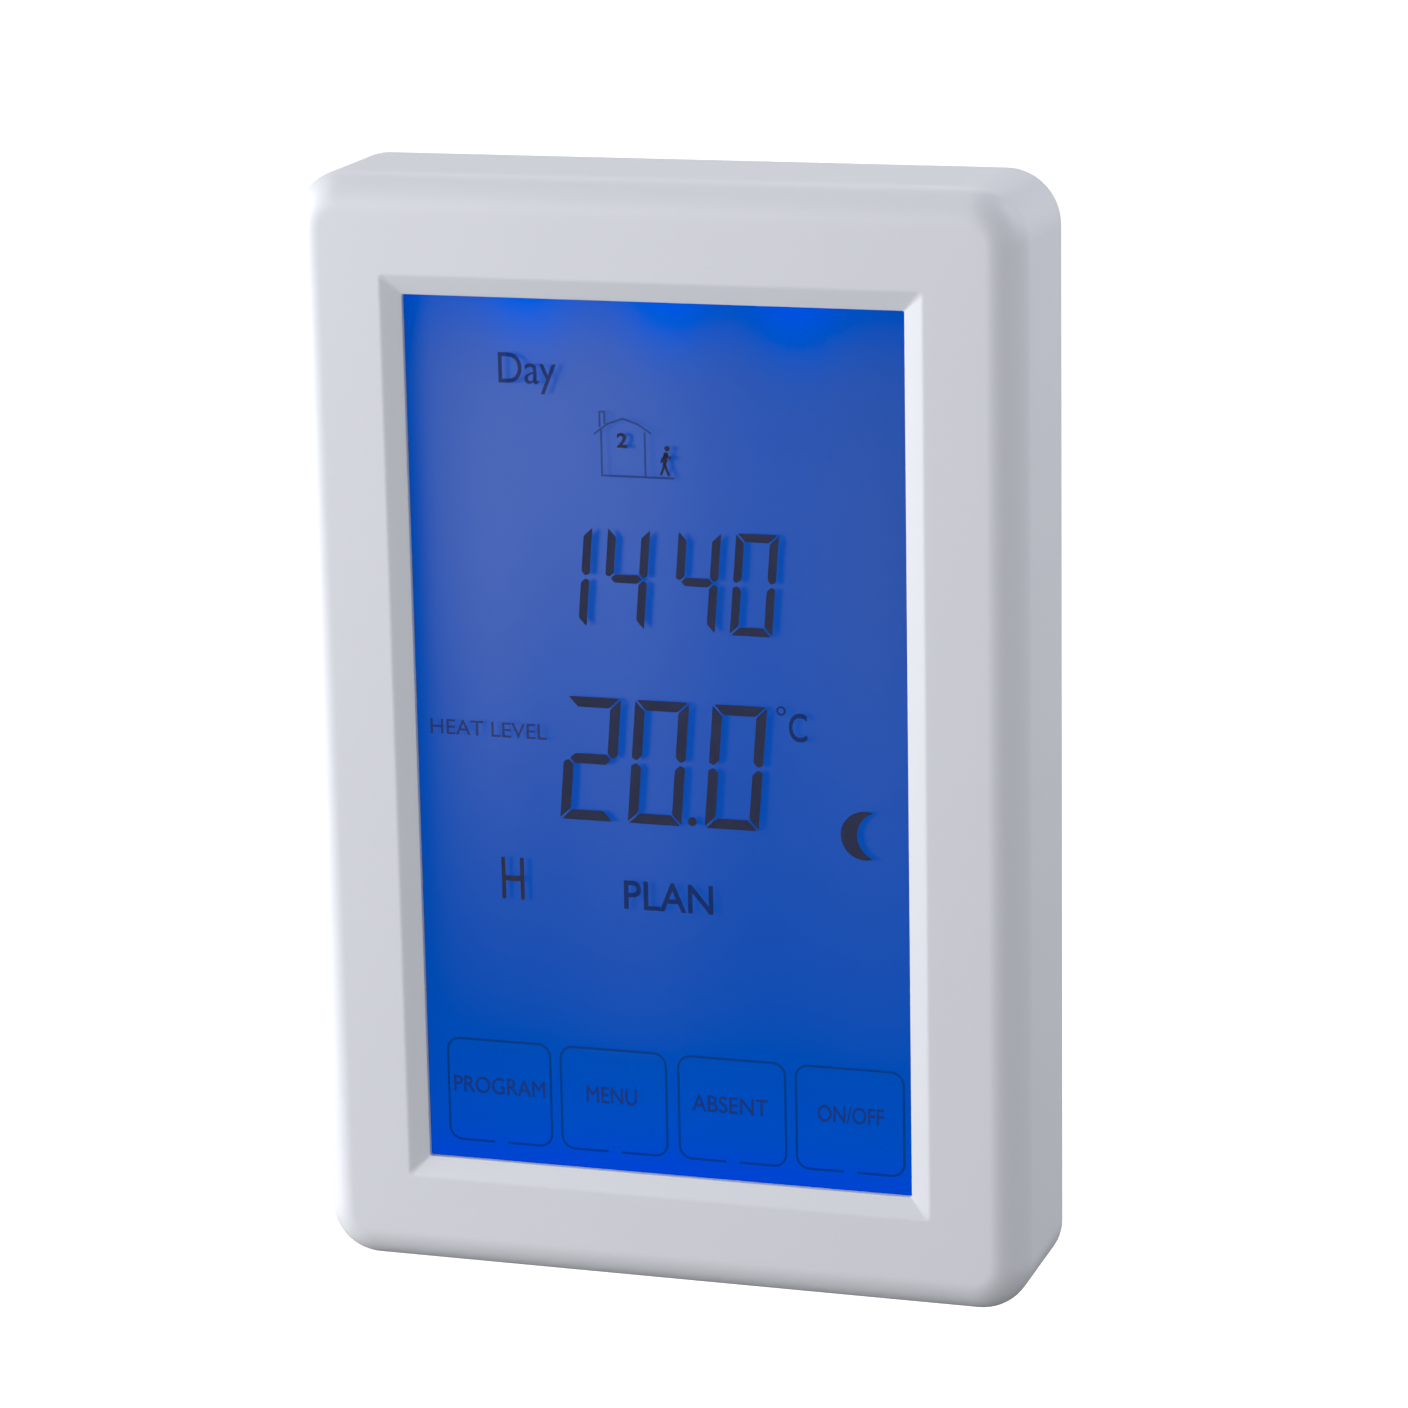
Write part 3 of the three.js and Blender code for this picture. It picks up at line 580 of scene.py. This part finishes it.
def stroke(points, width, closed=False):
    """The quads of a line of even width through points."""
    line = [Vector(p) for p in points]
    count = len(line)
    sides = []
    for i in range(count):
        before = line[i - 1] if i > 0 or closed else None
        after = line[(i + 1) % count] if i < count - 1 or closed else None
        into = (line[i] - before).normalized() if before is not None else (after - line[i]).normalized()
        out = (after - line[i]).normalized() if after is not None else into
        normal = Vector((-(into + out).y, (into + out).x)).normalized()
        reach = width / 2 / max(0.35, normal.dot(Vector((-into.y, into.x))))
        sides.append((line[i] + normal * reach, line[i] - normal * reach))
    stretch = count if closed else count - 1
    quads = []
    for i in range(stretch):
        (a, b), (c, d) = sides[i], sides[(i + 1) % count]
        quads.append([tuple(a), tuple(b), tuple(d), tuple(c)])
    return quads


def strokes(bm, points, width, low, high, closed=False):
    """A raised line: its quads share their edges, and its rim is walled."""
    quads = stroke(points, width, closed)
    made = {}

    def vertex(point, level):
        key = (round(point[0], 5), round(point[1], 5), level)
        if key not in made:
            made[key] = bm.verts.new((point[0], level, point[1]))
        return made[key]

    last = len(quads) - 1
    for i, quad in enumerate(quads):
        for level in (low, high):
            bm.faces.new([vertex(p, level) for p in quad])
        rims = [(0, 3), (1, 2)]
        if not closed and i == 0:
            rims.append((0, 1))
        if not closed and i == last:
            rims.append((3, 2))
        for a, b in rims:
            corners = ((a, low), (b, low), (b, high), (a, high))
            bm.faces.new([vertex(quad[corner], level) for corner, level in corners])


def turned(bm, profile, x, z, sides=40):
    """Adds a solid turned about a line along y. Its (radius, y) profile starts and ends on the axis."""
    rings = []
    for r, y in profile[1:-1]:
        ring = [bm.verts.new((x + px, y, z + pz)) for px, pz in disc(r, sides=sides)]
        rings.append(ring)
    for low, high in zip(rings, rings[1:]):
        for i in range(sides):
            j = (i + 1) % sides
            bm.faces.new((low[i], low[j], high[j], high[i]))
    for ring, y in ((rings[0], profile[0][1]), (rings[-1], profile[-1][1])):
        centre = bm.verts.new((x, y, z))
        for i in range(sides):
            bm.faces.new((ring[i], ring[(i + 1) % sides], centre))


def prism_mesh(name, outline, along, low, high):
    bm = bmesh.new()
    prism(bm, outline, along, low, high)
    return scaled_mesh(name, bm)


# ---------------------------------------------------------------- front cover
COVER_X, COVER_Y, COVER_Z = limits("front_cover")
HAIR = 0.002  # keeps rounding errors inside the CAD box
COVER_W = COVER_X[1] - COVER_X[0] - HAIR
COVER_H = COVER_Z[1] - COVER_Z[0] - HAIR
FACE_Y = COVER_Y[0]
PANEL_X, PANEL_Y, PANEL_Z = limits("touch_panel")
WALL = 2.2
CORNER_R, EDGE_R = 5.8, 3.8
DRAFT = 0.1  # how far the side walls lean in, up to the front edge
WINDOW_W, WINDOW_H = 54.5, 95.2
BEVEL, BEVEL_DEPTH = 2.15, 0.9


def cover_rings():
    """The cover's section, ring by ring: up the outside, over the edge, into the window and back inside."""
    rings = []

    def ring(inset, r, y, w=COVER_W, h=COVER_H):
        rings.append(rounded_ring(w - 2 * inset, h - 2 * inset, r, y))

    ring(0.30, CORNER_R - 0.3, 0)
    ring(0.09, CORNER_R - 0.09, -0.09)
    ring(0, CORNER_R, -0.3)
    for share in (0.33, 0.66):
        ring(DRAFT * share, CORNER_R - DRAFT * share, share * (FACE_Y + EDGE_R))
    steps = 12
    for step in range(steps + 1):
        angle = math.radians(90 * step / steps)
        inset = DRAFT + EDGE_R * (1 - math.cos(angle))
        ring(inset, CORNER_R - inset, FACE_Y + EDGE_R * (1 - math.sin(angle)))
    lip = 0.22  # the reach of the soft turn at the bevel's two edges
    drop = lip * BEVEL_DEPTH / BEVEL
    outer_w, outer_h = WINDOW_W + 2 * BEVEL, WINDOW_H + 2 * BEVEL
    for inset, depth in ((-lip, 0), (-0.3 * lip, 0.06 * lip), (0.35 * lip, 0.5 * drop), (lip, drop)):
        ring(inset, 0.5 - 0.3 * inset, FACE_Y + depth, outer_w, outer_h)
    foot = ((BEVEL - lip, BEVEL_DEPTH - drop), (BEVEL - 0.04, BEVEL_DEPTH), (BEVEL, BEVEL_DEPTH + 0.12))
    for inset, depth in foot:
        ring(inset, 0.2, FACE_Y + depth, outer_w, outer_h)
    pocket_y = PANEL_Y[0] - 0.05
    shelf_y = FACE_Y + WALL
    ring(0, 0.2, pocket_y, WINDOW_W, WINDOW_H)
    pocket_w, pocket_h = PANEL_X[1] - PANEL_X[0] + 0.6, PANEL_Z[1] - PANEL_Z[0] + 0.6
    ring(0, 0.5, pocket_y, pocket_w, pocket_h)
    ring(0, 0.5, shelf_y, pocket_w, pocket_h)
    inside = CORNER_R - WALL
    ring(WALL, inside, shelf_y)
    ring(WALL, inside, -0.25)
    ring(WALL - 0.15, inside + 0.15, 0)
    return rings


BOARD_FRONT, BOARD_BACK = limits("display_board")[1]
BOARD_SCREWS = [limits(f"board_screw_{i}") for i in (1, 2, 3, 4)]


def cover_posts():
    """Four hollow posts for the board screws, each tied to the side wall by a web."""
    posts = []
    top, root = BOARD_FRONT - 0.05, FACE_Y + WALL - 0.5
    outer, bore, bore_depth = 2.4, 1.15, 5
    profile = [(0, root), (outer, root), (outer, top - 0.2), (outer - 0.2, top)]
    profile += [(bore, top), (bore, top - bore_depth), (0, top - bore_depth)]
    for span_x, _, span_z in BOARD_SCREWS:
        x, z = middle(span_x), middle(span_z)
        bm = bmesh.new()
        turned(bm, profile, x, z)
        posts.append(scaled_mesh("post", bm))
        ends = sorted((x + math.copysign(1.3, x), math.copysign(COVER_W / 2 - WALL + 0.5, x)))
        posts.append(prism_mesh("web", oblong(*ends, z - 0.6, z + 0.6), "y", root, BOARD_FRONT - 1))
    return posts


def cover_cuts():
    """Air slots, release notches and snap dimples in the underside, and hook pockets in the top."""
    bottom = COVER_Z[0]
    inner = bottom + WALL
    through = (bottom - 1, inner + 1)
    cuts = [prism_mesh("vent", capsule(1.6, 7, 4 * i, -9.5), "z", *through) for i in range(-3, 4)]
    for x in (-15, 15):
        cuts.append(prism_mesh("notch", oblong(x - 2.5, x + 2.5, -0.7, 1), "z", *through))
        cuts.append(prism_mesh("dimple", oblong(x - 3.8, x + 3.8, -2.6, -0.75), "z", inner - 1, inner + 1))
    top = COVER_Z[1] - WALL
    for x in (-18, 18):
        cuts.append(prism_mesh("pocket", oblong(x - 4.4, x + 4.4, -3.4, -0.5), "z", top - 1, top + 1.2))
    return cuts


def build_cover():
    bm = bmesh.new()
    loft(bm, cover_rings())
    mesh = boolean(scaled_mesh("cover", bm), "UNION", cover_posts())
    mesh = boolean(mesh, "DIFFERENCE", cover_cuts())
    add_piece("front_cover_shell", mesh, "front_module", "cover_plastic", WHITE, replaces=["front_cover"])


build_cover()


# ---------------------------------------------------------------- display
LCD_X, LCD_Y, LCD_Z = limits("lcd_glass")
FRONT_GLASS = (LCD_Y[0], LCD_Y[0] + 0.5)
MARKS = (LCD_Y[0] + 0.52, LCD_Y[0] + 0.56)
GLOW_SHEET = (LCD_Y[0] + 1.25, LCD_Y[1])
SLANT = 0.086  # how far a digit leans, per unit of height
WASH_STRENGTH = 12
WASH_PLACE = (-0.9, -1.0, 0.15)
marks = []


def add_mark(name, bm, material):
    """A dark mark of the display, or a group of them."""
    marks.append(add_piece(name, scaled_mesh(name, bm), "front_module", "display_glass", material))


def display_sheet(name, low, high, material, **options):
    """A sheet as wide and high as the display, with its edges broken by 0.1 mm."""
    w, h, edge = LCD_X[1] - LCD_X[0], LCD_Z[1] - LCD_Z[0], 0.1
    rings = []
    for inset, y in ((edge, low), (0, low + edge), (0, high - edge), (edge, high)):
        rings.append(rounded_ring(w - 2 * inset, h - 2 * inset, 0.4 - inset, y, 3))
    bm = bmesh.new()
    made = loft(bm, rings, closed=False)
    bm.faces.new(made[0])
    bm.faces.new(made[-1])
    return add_piece(name, scaled_mesh(name, bm), "front_module", "display_glass", material, **options)


def segment_outlines(w, h, t, gap):
    """The seven bars of a digit, by letter, in an upright box that starts at the origin."""
    mid, s, e = h / 2, t / 2, gap
    top = [(e, h), (w - e, h), (w - t - e, h - t), (t + e, h - t)]
    upper = [(0, h - e), (t, h - t - e), (t, mid + s + e), (s, mid + e), (0, mid + 0.5 * s + e)]
    centre = [(s + e, mid), (t + e, mid + s), (w - t - e, mid + s)]
    centre += [(w - x, h - z) for x, z in centre]
    return {
        "a": top,
        "f": upper,
        "b": [(w - x, z) for x, z in upper],
        "e": [(x, h - z) for x, z in upper],
        "c": [(w - x, h - z) for x, z in upper],
        "d": [(x, h - z) for x, z in top],
        "g": centre,
    }


DIGITS = {"0": "abcdef", "1": "bc", "2": "abged", "4": "fgbc"}


def add_digit(bm, digit, left, bottom, w, h, t):
    bars = segment_outlines(w, h, t, 0.14)
    for letter in DIGITS[digit]:
        slanted = [(left + x + SLANT * z, bottom + z) for x, z in bars[letter]]
        prism(bm, softened(slanted, 0.16), "y", *MARKS)


def arc(cx, cz, r, start, end, steps=20):
    """Points of an arc, from start to end in degrees."""
    angles = [math.radians(start + (end - start) * i / steps) for i in range(steps + 1)]
    return [(cx + r * math.cos(a), cz + r * math.sin(a)) for a in angles]


def build_digits():
    bm = bmesh.new()
    for digit, left in zip("1440", (-13.25, -6.85, 0.95, 7.25)):
        add_digit(bm, digit, left, 12.08, 4.65, 11.0, 0.92)
    for digit, left in zip("200", (-12.1, -4.5, 4.1)):
        add_digit(bm, digit, left, -9.1, 6.0, 13.6, 1.12)
    prism(bm, disc(0.5, 2.73, -8.5), "y", *MARKS)
    outer = arc(21.8, -8.87, 2.67, 71, 289, 28)
    inner = arc(23.6, -8.87, 2.68, 252, 108, 28)
    prism(bm, outer + inner, "y", *MARKS)
    add_mark("display_digits", bm, INK)


def build_icon():
    """A plain house with a number in it and a stick figure beside it."""
    bm = bmesh.new()
    lines = (
        [(-6.45, 33.5), (-6.45, 28.6), (1.5, 28.6)],
        [(-1.65, 28.72), (-1.65, 33.4)],
        [(-7.25, 33.0), (-5.7, 34.15), (-4.05, 34.75), (-2.4, 34.2), (-0.9, 33.25)],
        [(-6.6, 33.75), (-6.6, 35.4), (-6.05, 35.4), (-6.05, 34.1)],
    )
    for points in lines:
        strokes(bm, points, 0.2, *MARKS)
    add_mark("display_house", bm, LINE_INK)
    bm = bmesh.new()
    prism(bm, disc(0.3, 0.78, 31.75, 16), "y", *MARKS)
    limbs = (
        ([(0.66, 31.35), (0.5, 30.25)], 0.5),
        ([(0.48, 30.3), (0.62, 29.6), (0.98, 28.85)], 0.26),
        ([(0.46, 30.3), (0.34, 29.6), (0.02, 28.9)], 0.26),
        ([(0.62, 31.15), (0.2, 30.6), (0.1, 30.2)], 0.2),
        ([(0.7, 31.15), (1.05, 30.7), (1.2, 30.95)], 0.2),
    )
    for points, width in limbs:
        strokes(bm, points, width, *MARKS)
    add_mark("display_walker", bm, INK)


def build_keys():
    """Four touch fields, each a thin rounded frame that is open for a short way at the bottom."""
    bm = bmesh.new()
    bottom, top, r, opening = -46.35, -34.75, 1.4, 0.75
    for left, right in ((-25.8, -14.0), (-12.8, -0.8), (0.6, 12.6), (13.8, 25.75)):
        centre = (left + right) / 2
        path = [(centre + opening, bottom)]
        path += arc(right - r, bottom + r, r, -90, 0, 8)
        path += arc(right - r, top - r, r, 0, 90, 8)
        path += arc(left + r, top - r, r, 90, 180, 8)
        path += arc(left + r, bottom + r, r, 180, 270, 8)
        path += [(centre - opening, bottom)]
        strokes(bm, path, 0.24, *MARKS)
    add_mark("display_keys", bm, LINE_INK)


FONT_CAP = 0.729  # a capital's height in the built-in font at size 1


def add_word(name, text, left, right, base, height, material, weight=0.0):
    """A word that fills the given width and cap height."""
    curve = bpy.data.curves.new(name, "FONT")
    curve.body = text
    curve.size = 1
    curve.offset = weight
    curve.resolution_u = 6
    holder = bpy.data.objects.new(name, curve)
    bpy.context.scene.collection.objects.link(holder)
    ready = holder.evaluated_get(bpy.context.evaluated_depsgraph_get())
    flat = bpy.data.meshes.new_from_object(ready)
    bpy.data.objects.remove(holder)
    bm = bmesh.new()
    bm.from_mesh(flat)
    bmesh.ops.remove_doubles(bm, verts=bm.verts, dist=1e-4)
    xs = [v.co.x for v in bm.verts]
    start = min(xs)
    stretch_x = (right - left) / (max(xs) - start)
    stretch_z = height / FONT_CAP
    for v in bm.verts:
        v.co = Vector((left + (v.co.x - start) * stretch_x, MARKS[0], base + v.co.y * stretch_z))
    drawn = bmesh.ops.extrude_face_region(bm, geom=list(bm.faces))
    moved = [g for g in drawn["geom"] if isinstance(g, bmesh.types.BMVert)]
    bmesh.ops.translate(bm, verts=moved, vec=(0, MARKS[1] - MARKS[0], 0))
    add_mark(name, bm, material)


def build_words():
    add_word("word_day", "Day", -17.7, -11.3, 38.1, 3.45, FAINT_INK)
    add_word("word_number", "2", -4.75, -3.6, 31.7, 1.55, INK, 0.03)
    add_word("word_measured", "HEAT LEVEL", -26.6, -13.4, -0.5, 1.75, CAPTION_INK)
    add_word("word_source", "H", -18.95, -16.4, -18.5, 5.0, INK)
    add_word("word_plan", "PLAN", -5.1, 4.9, -18.65, 3.3, FAINT_INK, 0.01)
    add_word("word_degree", "C", 13.6, 15.6, 1.0, 3.15, FAINT_INK, 0.01)
    labels = (("PROGRAM", -25.2, -14.7), ("MENU", -9.9, -4.2), ("ABSENT", 2.1, 10.6), ("ON/OFF", 16.2, 23.5))
    for text, left, right in labels:
        add_word("key_" + text.lower().replace("/", "_"), text, left, right, -40.85, 1.95, CAPTION_INK)
    bm = bmesh.new()
    strokes(bm, disc(0.42, 12.76, 4.2, 20), 0.2, *MARKS, closed=True)
    add_mark("display_degree_ring", bm, FAINT_INK)


def add_display_wash(ground):
    """Light from the left that falls only on the display's ground, and is held back only by the marks."""
    receivers = bpy.data.collections.new("display_wash_receivers")
    receivers.objects.link(ground)
    blockers = bpy.data.collections.new("display_wash_blockers")
    for made in marks:
        blockers.objects.link(made)
    lamp = bpy.data.lights.new("display_wash", "SUN")
    lamp.energy = WASH_STRENGTH
    lamp.angle = math.radians(24)
    holder = bpy.data.objects.new("display_wash", lamp)
    holder.matrix_world = aimed(WASH_PLACE)
    bpy.context.scene.collection.objects.link(holder)
    holder.light_linking.receiver_collection = receivers
    holder.light_linking.blocker_collection = blockers


display_sheet("display_front_glass", *FRONT_GLASS, TOUCH)
ground = display_sheet("display_ground", *GLOW_SHEET, GLOW, replaces=["lcd_glass"])
build_digits()
build_icon()
build_keys()
build_words()
add_display_wash(ground)


# ---------------------------------------------------------------- turned parts
def dome(radius, height, start, steps=8):
    """The profile of a pan head's rounded top, from its rim to its middle."""
    points = []
    for step in range(steps + 1):
        angle = math.radians(90 * step / steps)
        points.append((radius * math.cos(angle) ** 0.7, start + height * math.sin(angle) ** 0.9))
    return points[:-1] + [(0, start + height)]


def thread(radius, start, end, pitch):
    """Ridges from start to end."""
    ridge = ((0.8, 0), (0.82, 0.2), (1, 0.55), (1, 0.65))
    points = []
    for turn in range(int((end - start) / pitch)):
        points += [(radius * r, start + (turn + share) * pitch) for r, share in ridge]
    return points


def screw_mesh(node, head_r, head_h, shank_r, pitch, to_room):
    """A pan-head screw with a thread and a cross recess, where its CAD node lies."""
    span_x, span_y, span_z = limits(node)
    x, z = middle(span_x), middle(span_z)
    length = span_y[1] - span_y[0] - head_h
    seat, way = (span_y[0] + head_h, -1) if to_room else (span_y[1] - head_h, 1)
    profile = [(0, -length), (shank_r * 0.5, -length), (shank_r, -length + shank_r)]
    profile += thread(shank_r, -length + 1.2 * shank_r, -0.5, pitch)
    profile += [(shank_r, -0.3), (shank_r, 0), (head_r - 0.1, 0), (head_r, 0.1), (head_r, 0.3 * head_h)]
    profile += dome(head_r, 0.66 * head_h, 0.34 * head_h)
    bm = bmesh.new()
    turned(bm, [(r, seat + way * t) for r, t in profile], x, z, 48)
    cuts = []
    floor, top = seat + way * 0.42 * head_h, seat + way * (head_h + 1)
    for w, h in ((1.1, 0.24), (0.24, 1.1)):
        cross = oblong(x - w / 2 * head_r, x + w / 2 * head_r, z - h / 2 * head_r, z + h / 2 * head_r)
        cuts.append(prism_mesh("cross", cross, "y", min(floor, top), max(floor, top)))
    return boolean(scaled_mesh(node, bm), "DIFFERENCE", cuts)


def terminal_screw_mesh(node):
    """A slotted clamp screw whose head faces the back."""
    span_x, span_y, span_z = limits(node)
    x, z = middle(span_x), middle(span_z)
    low, top = span_y
    head = top - 1.8
    profile = [(0, low), (1.2, low), (1.4, low + 0.2)] + thread(1.4, low + 0.3, head - 0.4, 0.5)
    profile += [(1.4, head - 0.1), (1.4, head), (2.25, head), (2.35, head + 0.1), (2.35, top - 0.45)]
    profile += [(2.31, top - 0.25), (2.2, top - 0.1), (2.02, top), (0, top)]
    bm = bmesh.new()
    turned(bm, profile, x, z, 48)
    slot = prism_mesh("slot", oblong(x - 3, x + 3, z - 0.35, z + 0.35), "y", top - 0.8, top + 1)
    return boolean(scaled_mesh(node, bm), "DIFFERENCE", [slot])


def add_screw(node, body, mesh):
    add_piece(node + "_turned", mesh, body, "plated_steel", BRIGHT_STEEL, replaces=[node])


def build_screws():
    for node in (f"board_screw_{i}" for i in range(1, 5)):
        add_screw(node, "front_module", screw_mesh(node, 2.1, 1.4, 1, 0.55, False))
    for node in (f"housing_screw_{i}" for i in range(1, 5)):
        add_screw(node, "wall_base", screw_mesh(node, 2.5, 1.2, 1.25, 0.6, True))
    for node in ("box_screw_upper", "box_screw_lower"):
        add_screw(node, "wall_base", screw_mesh(node, 3.4, 2.2, 1.75, 0.6, True))
    for node in (f"terminal_screw_{i}" for i in range(1, 7)):
        add_screw(node, node, terminal_screw_mesh(node))


# each round part's section: (radius, height) points up from its room side, then down from its wall side
ROUND_PARTS = (
    (
        "buzzer", "front_module", "black_plastic", BLACK,
        ((0, 0), (5.8, 0), (6, 0.2)),
        ((6, 0.9), (5.9, 0.55), (5.75, 0.3), (5.4, 0.08), (5.1, 0), (3.4, 0), (3.3, 0.12), (3.1, 0.12),
         (3.0, 0), (1.3, 0), (1.2, 0.1), (1.2, 1), (0, 1)),
    ),
    (
        "backup_cell", "front_module", "plated_steel", BRIGHT_STEEL,
        ((0, 0), (4.6, 0), (4.8, 0.15), (5.7, 0.18), (6.1, 0.35), (6.25, 0.6)),
        ((6.25, 0.35), (6.15, 0.12), (5.95, 0), (0, 0)),
    ),
    (
        "main_capacitor", "wall_base", "black_plastic", BLACK,
        ((0, 0), (4.6, 0), (4.85, 0.15), (5, 0.5), (5, 1.6), (4.7, 1.9), (4.65, 2.1), (4.7, 2.3), (5, 2.6)),
        ((5, 0.7), (4.85, 0.25), (4.5, 0), (4.2, 0), (4.1, 0.15), (0, 0.15)),
    ),
    (
        "fuse", "wall_base", "black_plastic", BLACK,
        ((0, 0), (4.1, 0), (4.2, 0.12)),
        ((4.2, 0.6), (4.1, 0.25), (3.85, 0.05), (3.6, 0), (0, 0)),
    ),
)


def build_round_parts():
    """Buzzer, cell, capacitor and fuse, each turned about its axis."""
    for node, body, slot, material, room_side, wall_side in ROUND_PARTS:
        span_x, span_y, span_z = limits(node)
        profile = [(r, span_y[0] + y) for r, y in room_side] + [(r, span_y[1] - y) for r, y in wall_side]
        bm = bmesh.new()
        turned(bm, profile, middle(span_x), middle(span_z), 56)
        add_piece(node + "_turned", scaled_mesh(node, bm), body, slot, material, replaces=[node])


# ---------------------------------------------------------------- small parts of the display board
# rows of chip parts on the board: the first one's x and z, how many, and the row's direction
CHIP_ROWS = (
    (-27, 4, 6, "x"),
    (-27, -2, 6, "x"),
    (9, -10, 5, "x"),
    (-9, 38, 7, "x"),
    (24, 34, 5, "z"),
    (-28, -14, 4, "z"),
)


def chamfered(bm, x, z, w, h, low, t):
    """A small part with slightly sloped, rounded walls, standing on the board."""
    rings = []
    for inset, level in ((0, 0), (0, 0.7 * t), (0.06, 0.93 * t), (0.14, t)):
        ring = rounded_ring(w - 2 * inset, h - 2 * inset, 0.08, low + level, 2)
        rings.append([(x + px, y, z + pz) for px, y, pz in ring])
    made = loft(bm, rings, closed=False)
    bm.faces.new(made[0])
    bm.faces.new(made[-1])


def chip_part(body, metal, x, z, upright, base):
    """A chip resistor or capacitor, with a metal cap at each end."""
    length, width, cap_at, cap_length, cap_width = 1.6, 0.8, 0.66, 0.36, 0.84
    w, h = (width, length) if upright else (length, width)
    chamfered(body, x, z, 0.94 * w, 0.94 * h, base, 0.5)
    for shift in (-cap_at, cap_at):
        if upright:
            chamfered(metal, x, z + shift, cap_width, cap_length, base, 0.54)
        else:
            chamfered(metal, x + shift, z, cap_length, cap_width, base, 0.54)


def build_board_parts():
    """Chip resistors and capacitors, two small chips, a crystal and the microcontroller's legs."""
    base = BOARD_BACK + 0.01
    chips, ceramics, metal = bmesh.new(), bmesh.new(), bmesh.new()
    for row, (x, z, count, along) in enumerate(CHIP_ROWS):
        for i in range(count):
            px, pz = (x + 2.8 * i, z) if along == "x" else (x, z - 2.6 * i)
            upright = (row + i) % 3 != 0
            chip_part(ceramics if row % 2 else chips, metal, px, pz, upright, base)
    for x, z, w, h in ((-20, -22, 6, 5), (21, -22, 5, 4)):
        chamfered(chips, x, z, w, h, base + 0.1, 1.1)
        for side in (-1, 1):
            for i in range(4):
                foot = z - 1.5 + i * 1.0 if h > 4 else z - 1.2 + i * 0.8
                chamfered(metal, x + side * (w / 2 + 0.45), foot, 0.9, 0.35, base, 0.35)
    chamfered(metal, 10.5, 12.5, 3.2, 6.5, base, 1.6)
    chip_x, _, chip_z = limits("microcontroller")
    half, cx, cz = (chip_x[1] - chip_x[0]) / 2, middle(chip_x), middle(chip_z)
    for i in range(12):
        along = -3.85 + 0.7 * i
        for side in (-1, 1):
            chamfered(metal, cx + along, cz + side * (half + 0.42), 0.3, 0.84, base, 0.28)
            chamfered(metal, cx + side * (half + 0.42), cz + along, 0.84, 0.3, base, 0.28)
    for name, bm, slot, material in (
        ("board_chips", chips, "black_plastic", BLACK),
        ("board_ceramics", ceramics, "white_plastic", CERAMIC),
        ("board_metal", metal, "plated_steel", TIN),
    ):
        add_piece(name, scaled_mesh(name, bm), "front_module", slot, material)


build_screws()
build_round_parts()
build_board_parts()


# ---------------------------------------------------------------- the CAD nodes that stay
def dress(node, material, edge):
    """Gives a CAD node its material, and rounds its edges by modifiers."""
    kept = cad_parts[node]
    kept.material_slots[0].material = material
    for name in ("custom_normal", "sharp_edge", "sharp_face"):
        layer = kept.data.attributes.get(name)
        if layer:
            kept.data.attributes.remove(layer)
    weld = kept.modifiers.new("weld", "WELD")
    weld.merge_threshold = 1e-6
    planar = kept.modifiers.new("planar", "DECIMATE")
    planar.decimate_type = "DISSOLVE"
    planar.angle_limit = math.radians(0.5)
    bevel = kept.modifiers.new("bevel", "BEVEL")
    bevel.width = edge * MM
    bevel.segments = 2
    bevel.limit_method = "ANGLE"
    bevel.angle_limit = SHARP_ANGLE
    even_normals(kept)


# each kept node's material, and how far its edges are rounded
DRESS = {
    "touch_panel": (TOUCH, 0.15),
    "panel_gasket": (FOAM, 0.05),
    "light_guide": (ACRYLIC, 0.1),
    "lcd_frame": (TRAY_WHITE, 0.15),
    "contact_strip": (SILICONE, 0.1),
    "backlight_strip_top": (TRAY_WHITE, 0.05),
    "backlight_strip_bottom": (TRAY_WHITE, 0.05),
    "touch_flex": (ORANGE_FILM, 0.03),
    "flex_connector": (BLACK, 0.15),
    "display_board": (BOARD, 0.1),
    "microcontroller": (BLACK, 0.12),
    "cell_holder": (BLACK, 0.2),
    "reset_switch": (BLACK, 0.15),
    "reset_button": (TRAY_WHITE, 0.15),
    "air_sensor": (BLACK, 0.05),
    "socket_header": (BLACK, 0.15),
    "pin_header": (BLACK, 0.08),
    "base_plate": (BASE_WHITE, 0.2),
    "mounting_plate": (ZINC, 0.12),
    "power_housing": (CHARCOAL, 0.35),
    "power_board": (BOARD, 0.1),
    "relay": (RELAY_BLUE, 0.3),
    "transformer": (TAPE_YELLOW, 0.2),
    "film_capacitor": (TAPE_YELLOW, 0.3),
    "varistor": (RELAY_BLUE, 0.3),
    "terminal_block": (TERMINAL_GREEN, 0.18),
}
DRESS.update({f"clamp_cage_{i}": (TIN, 0.1) for i in range(1, 7)})
DRESS.update({f"contact_bar_{i}": (BRASS, 0.1) for i in range(1, 7)})
for cad_node, (finish, edge_width) in DRESS.items():
    dress(cad_node, finish, edge_width)
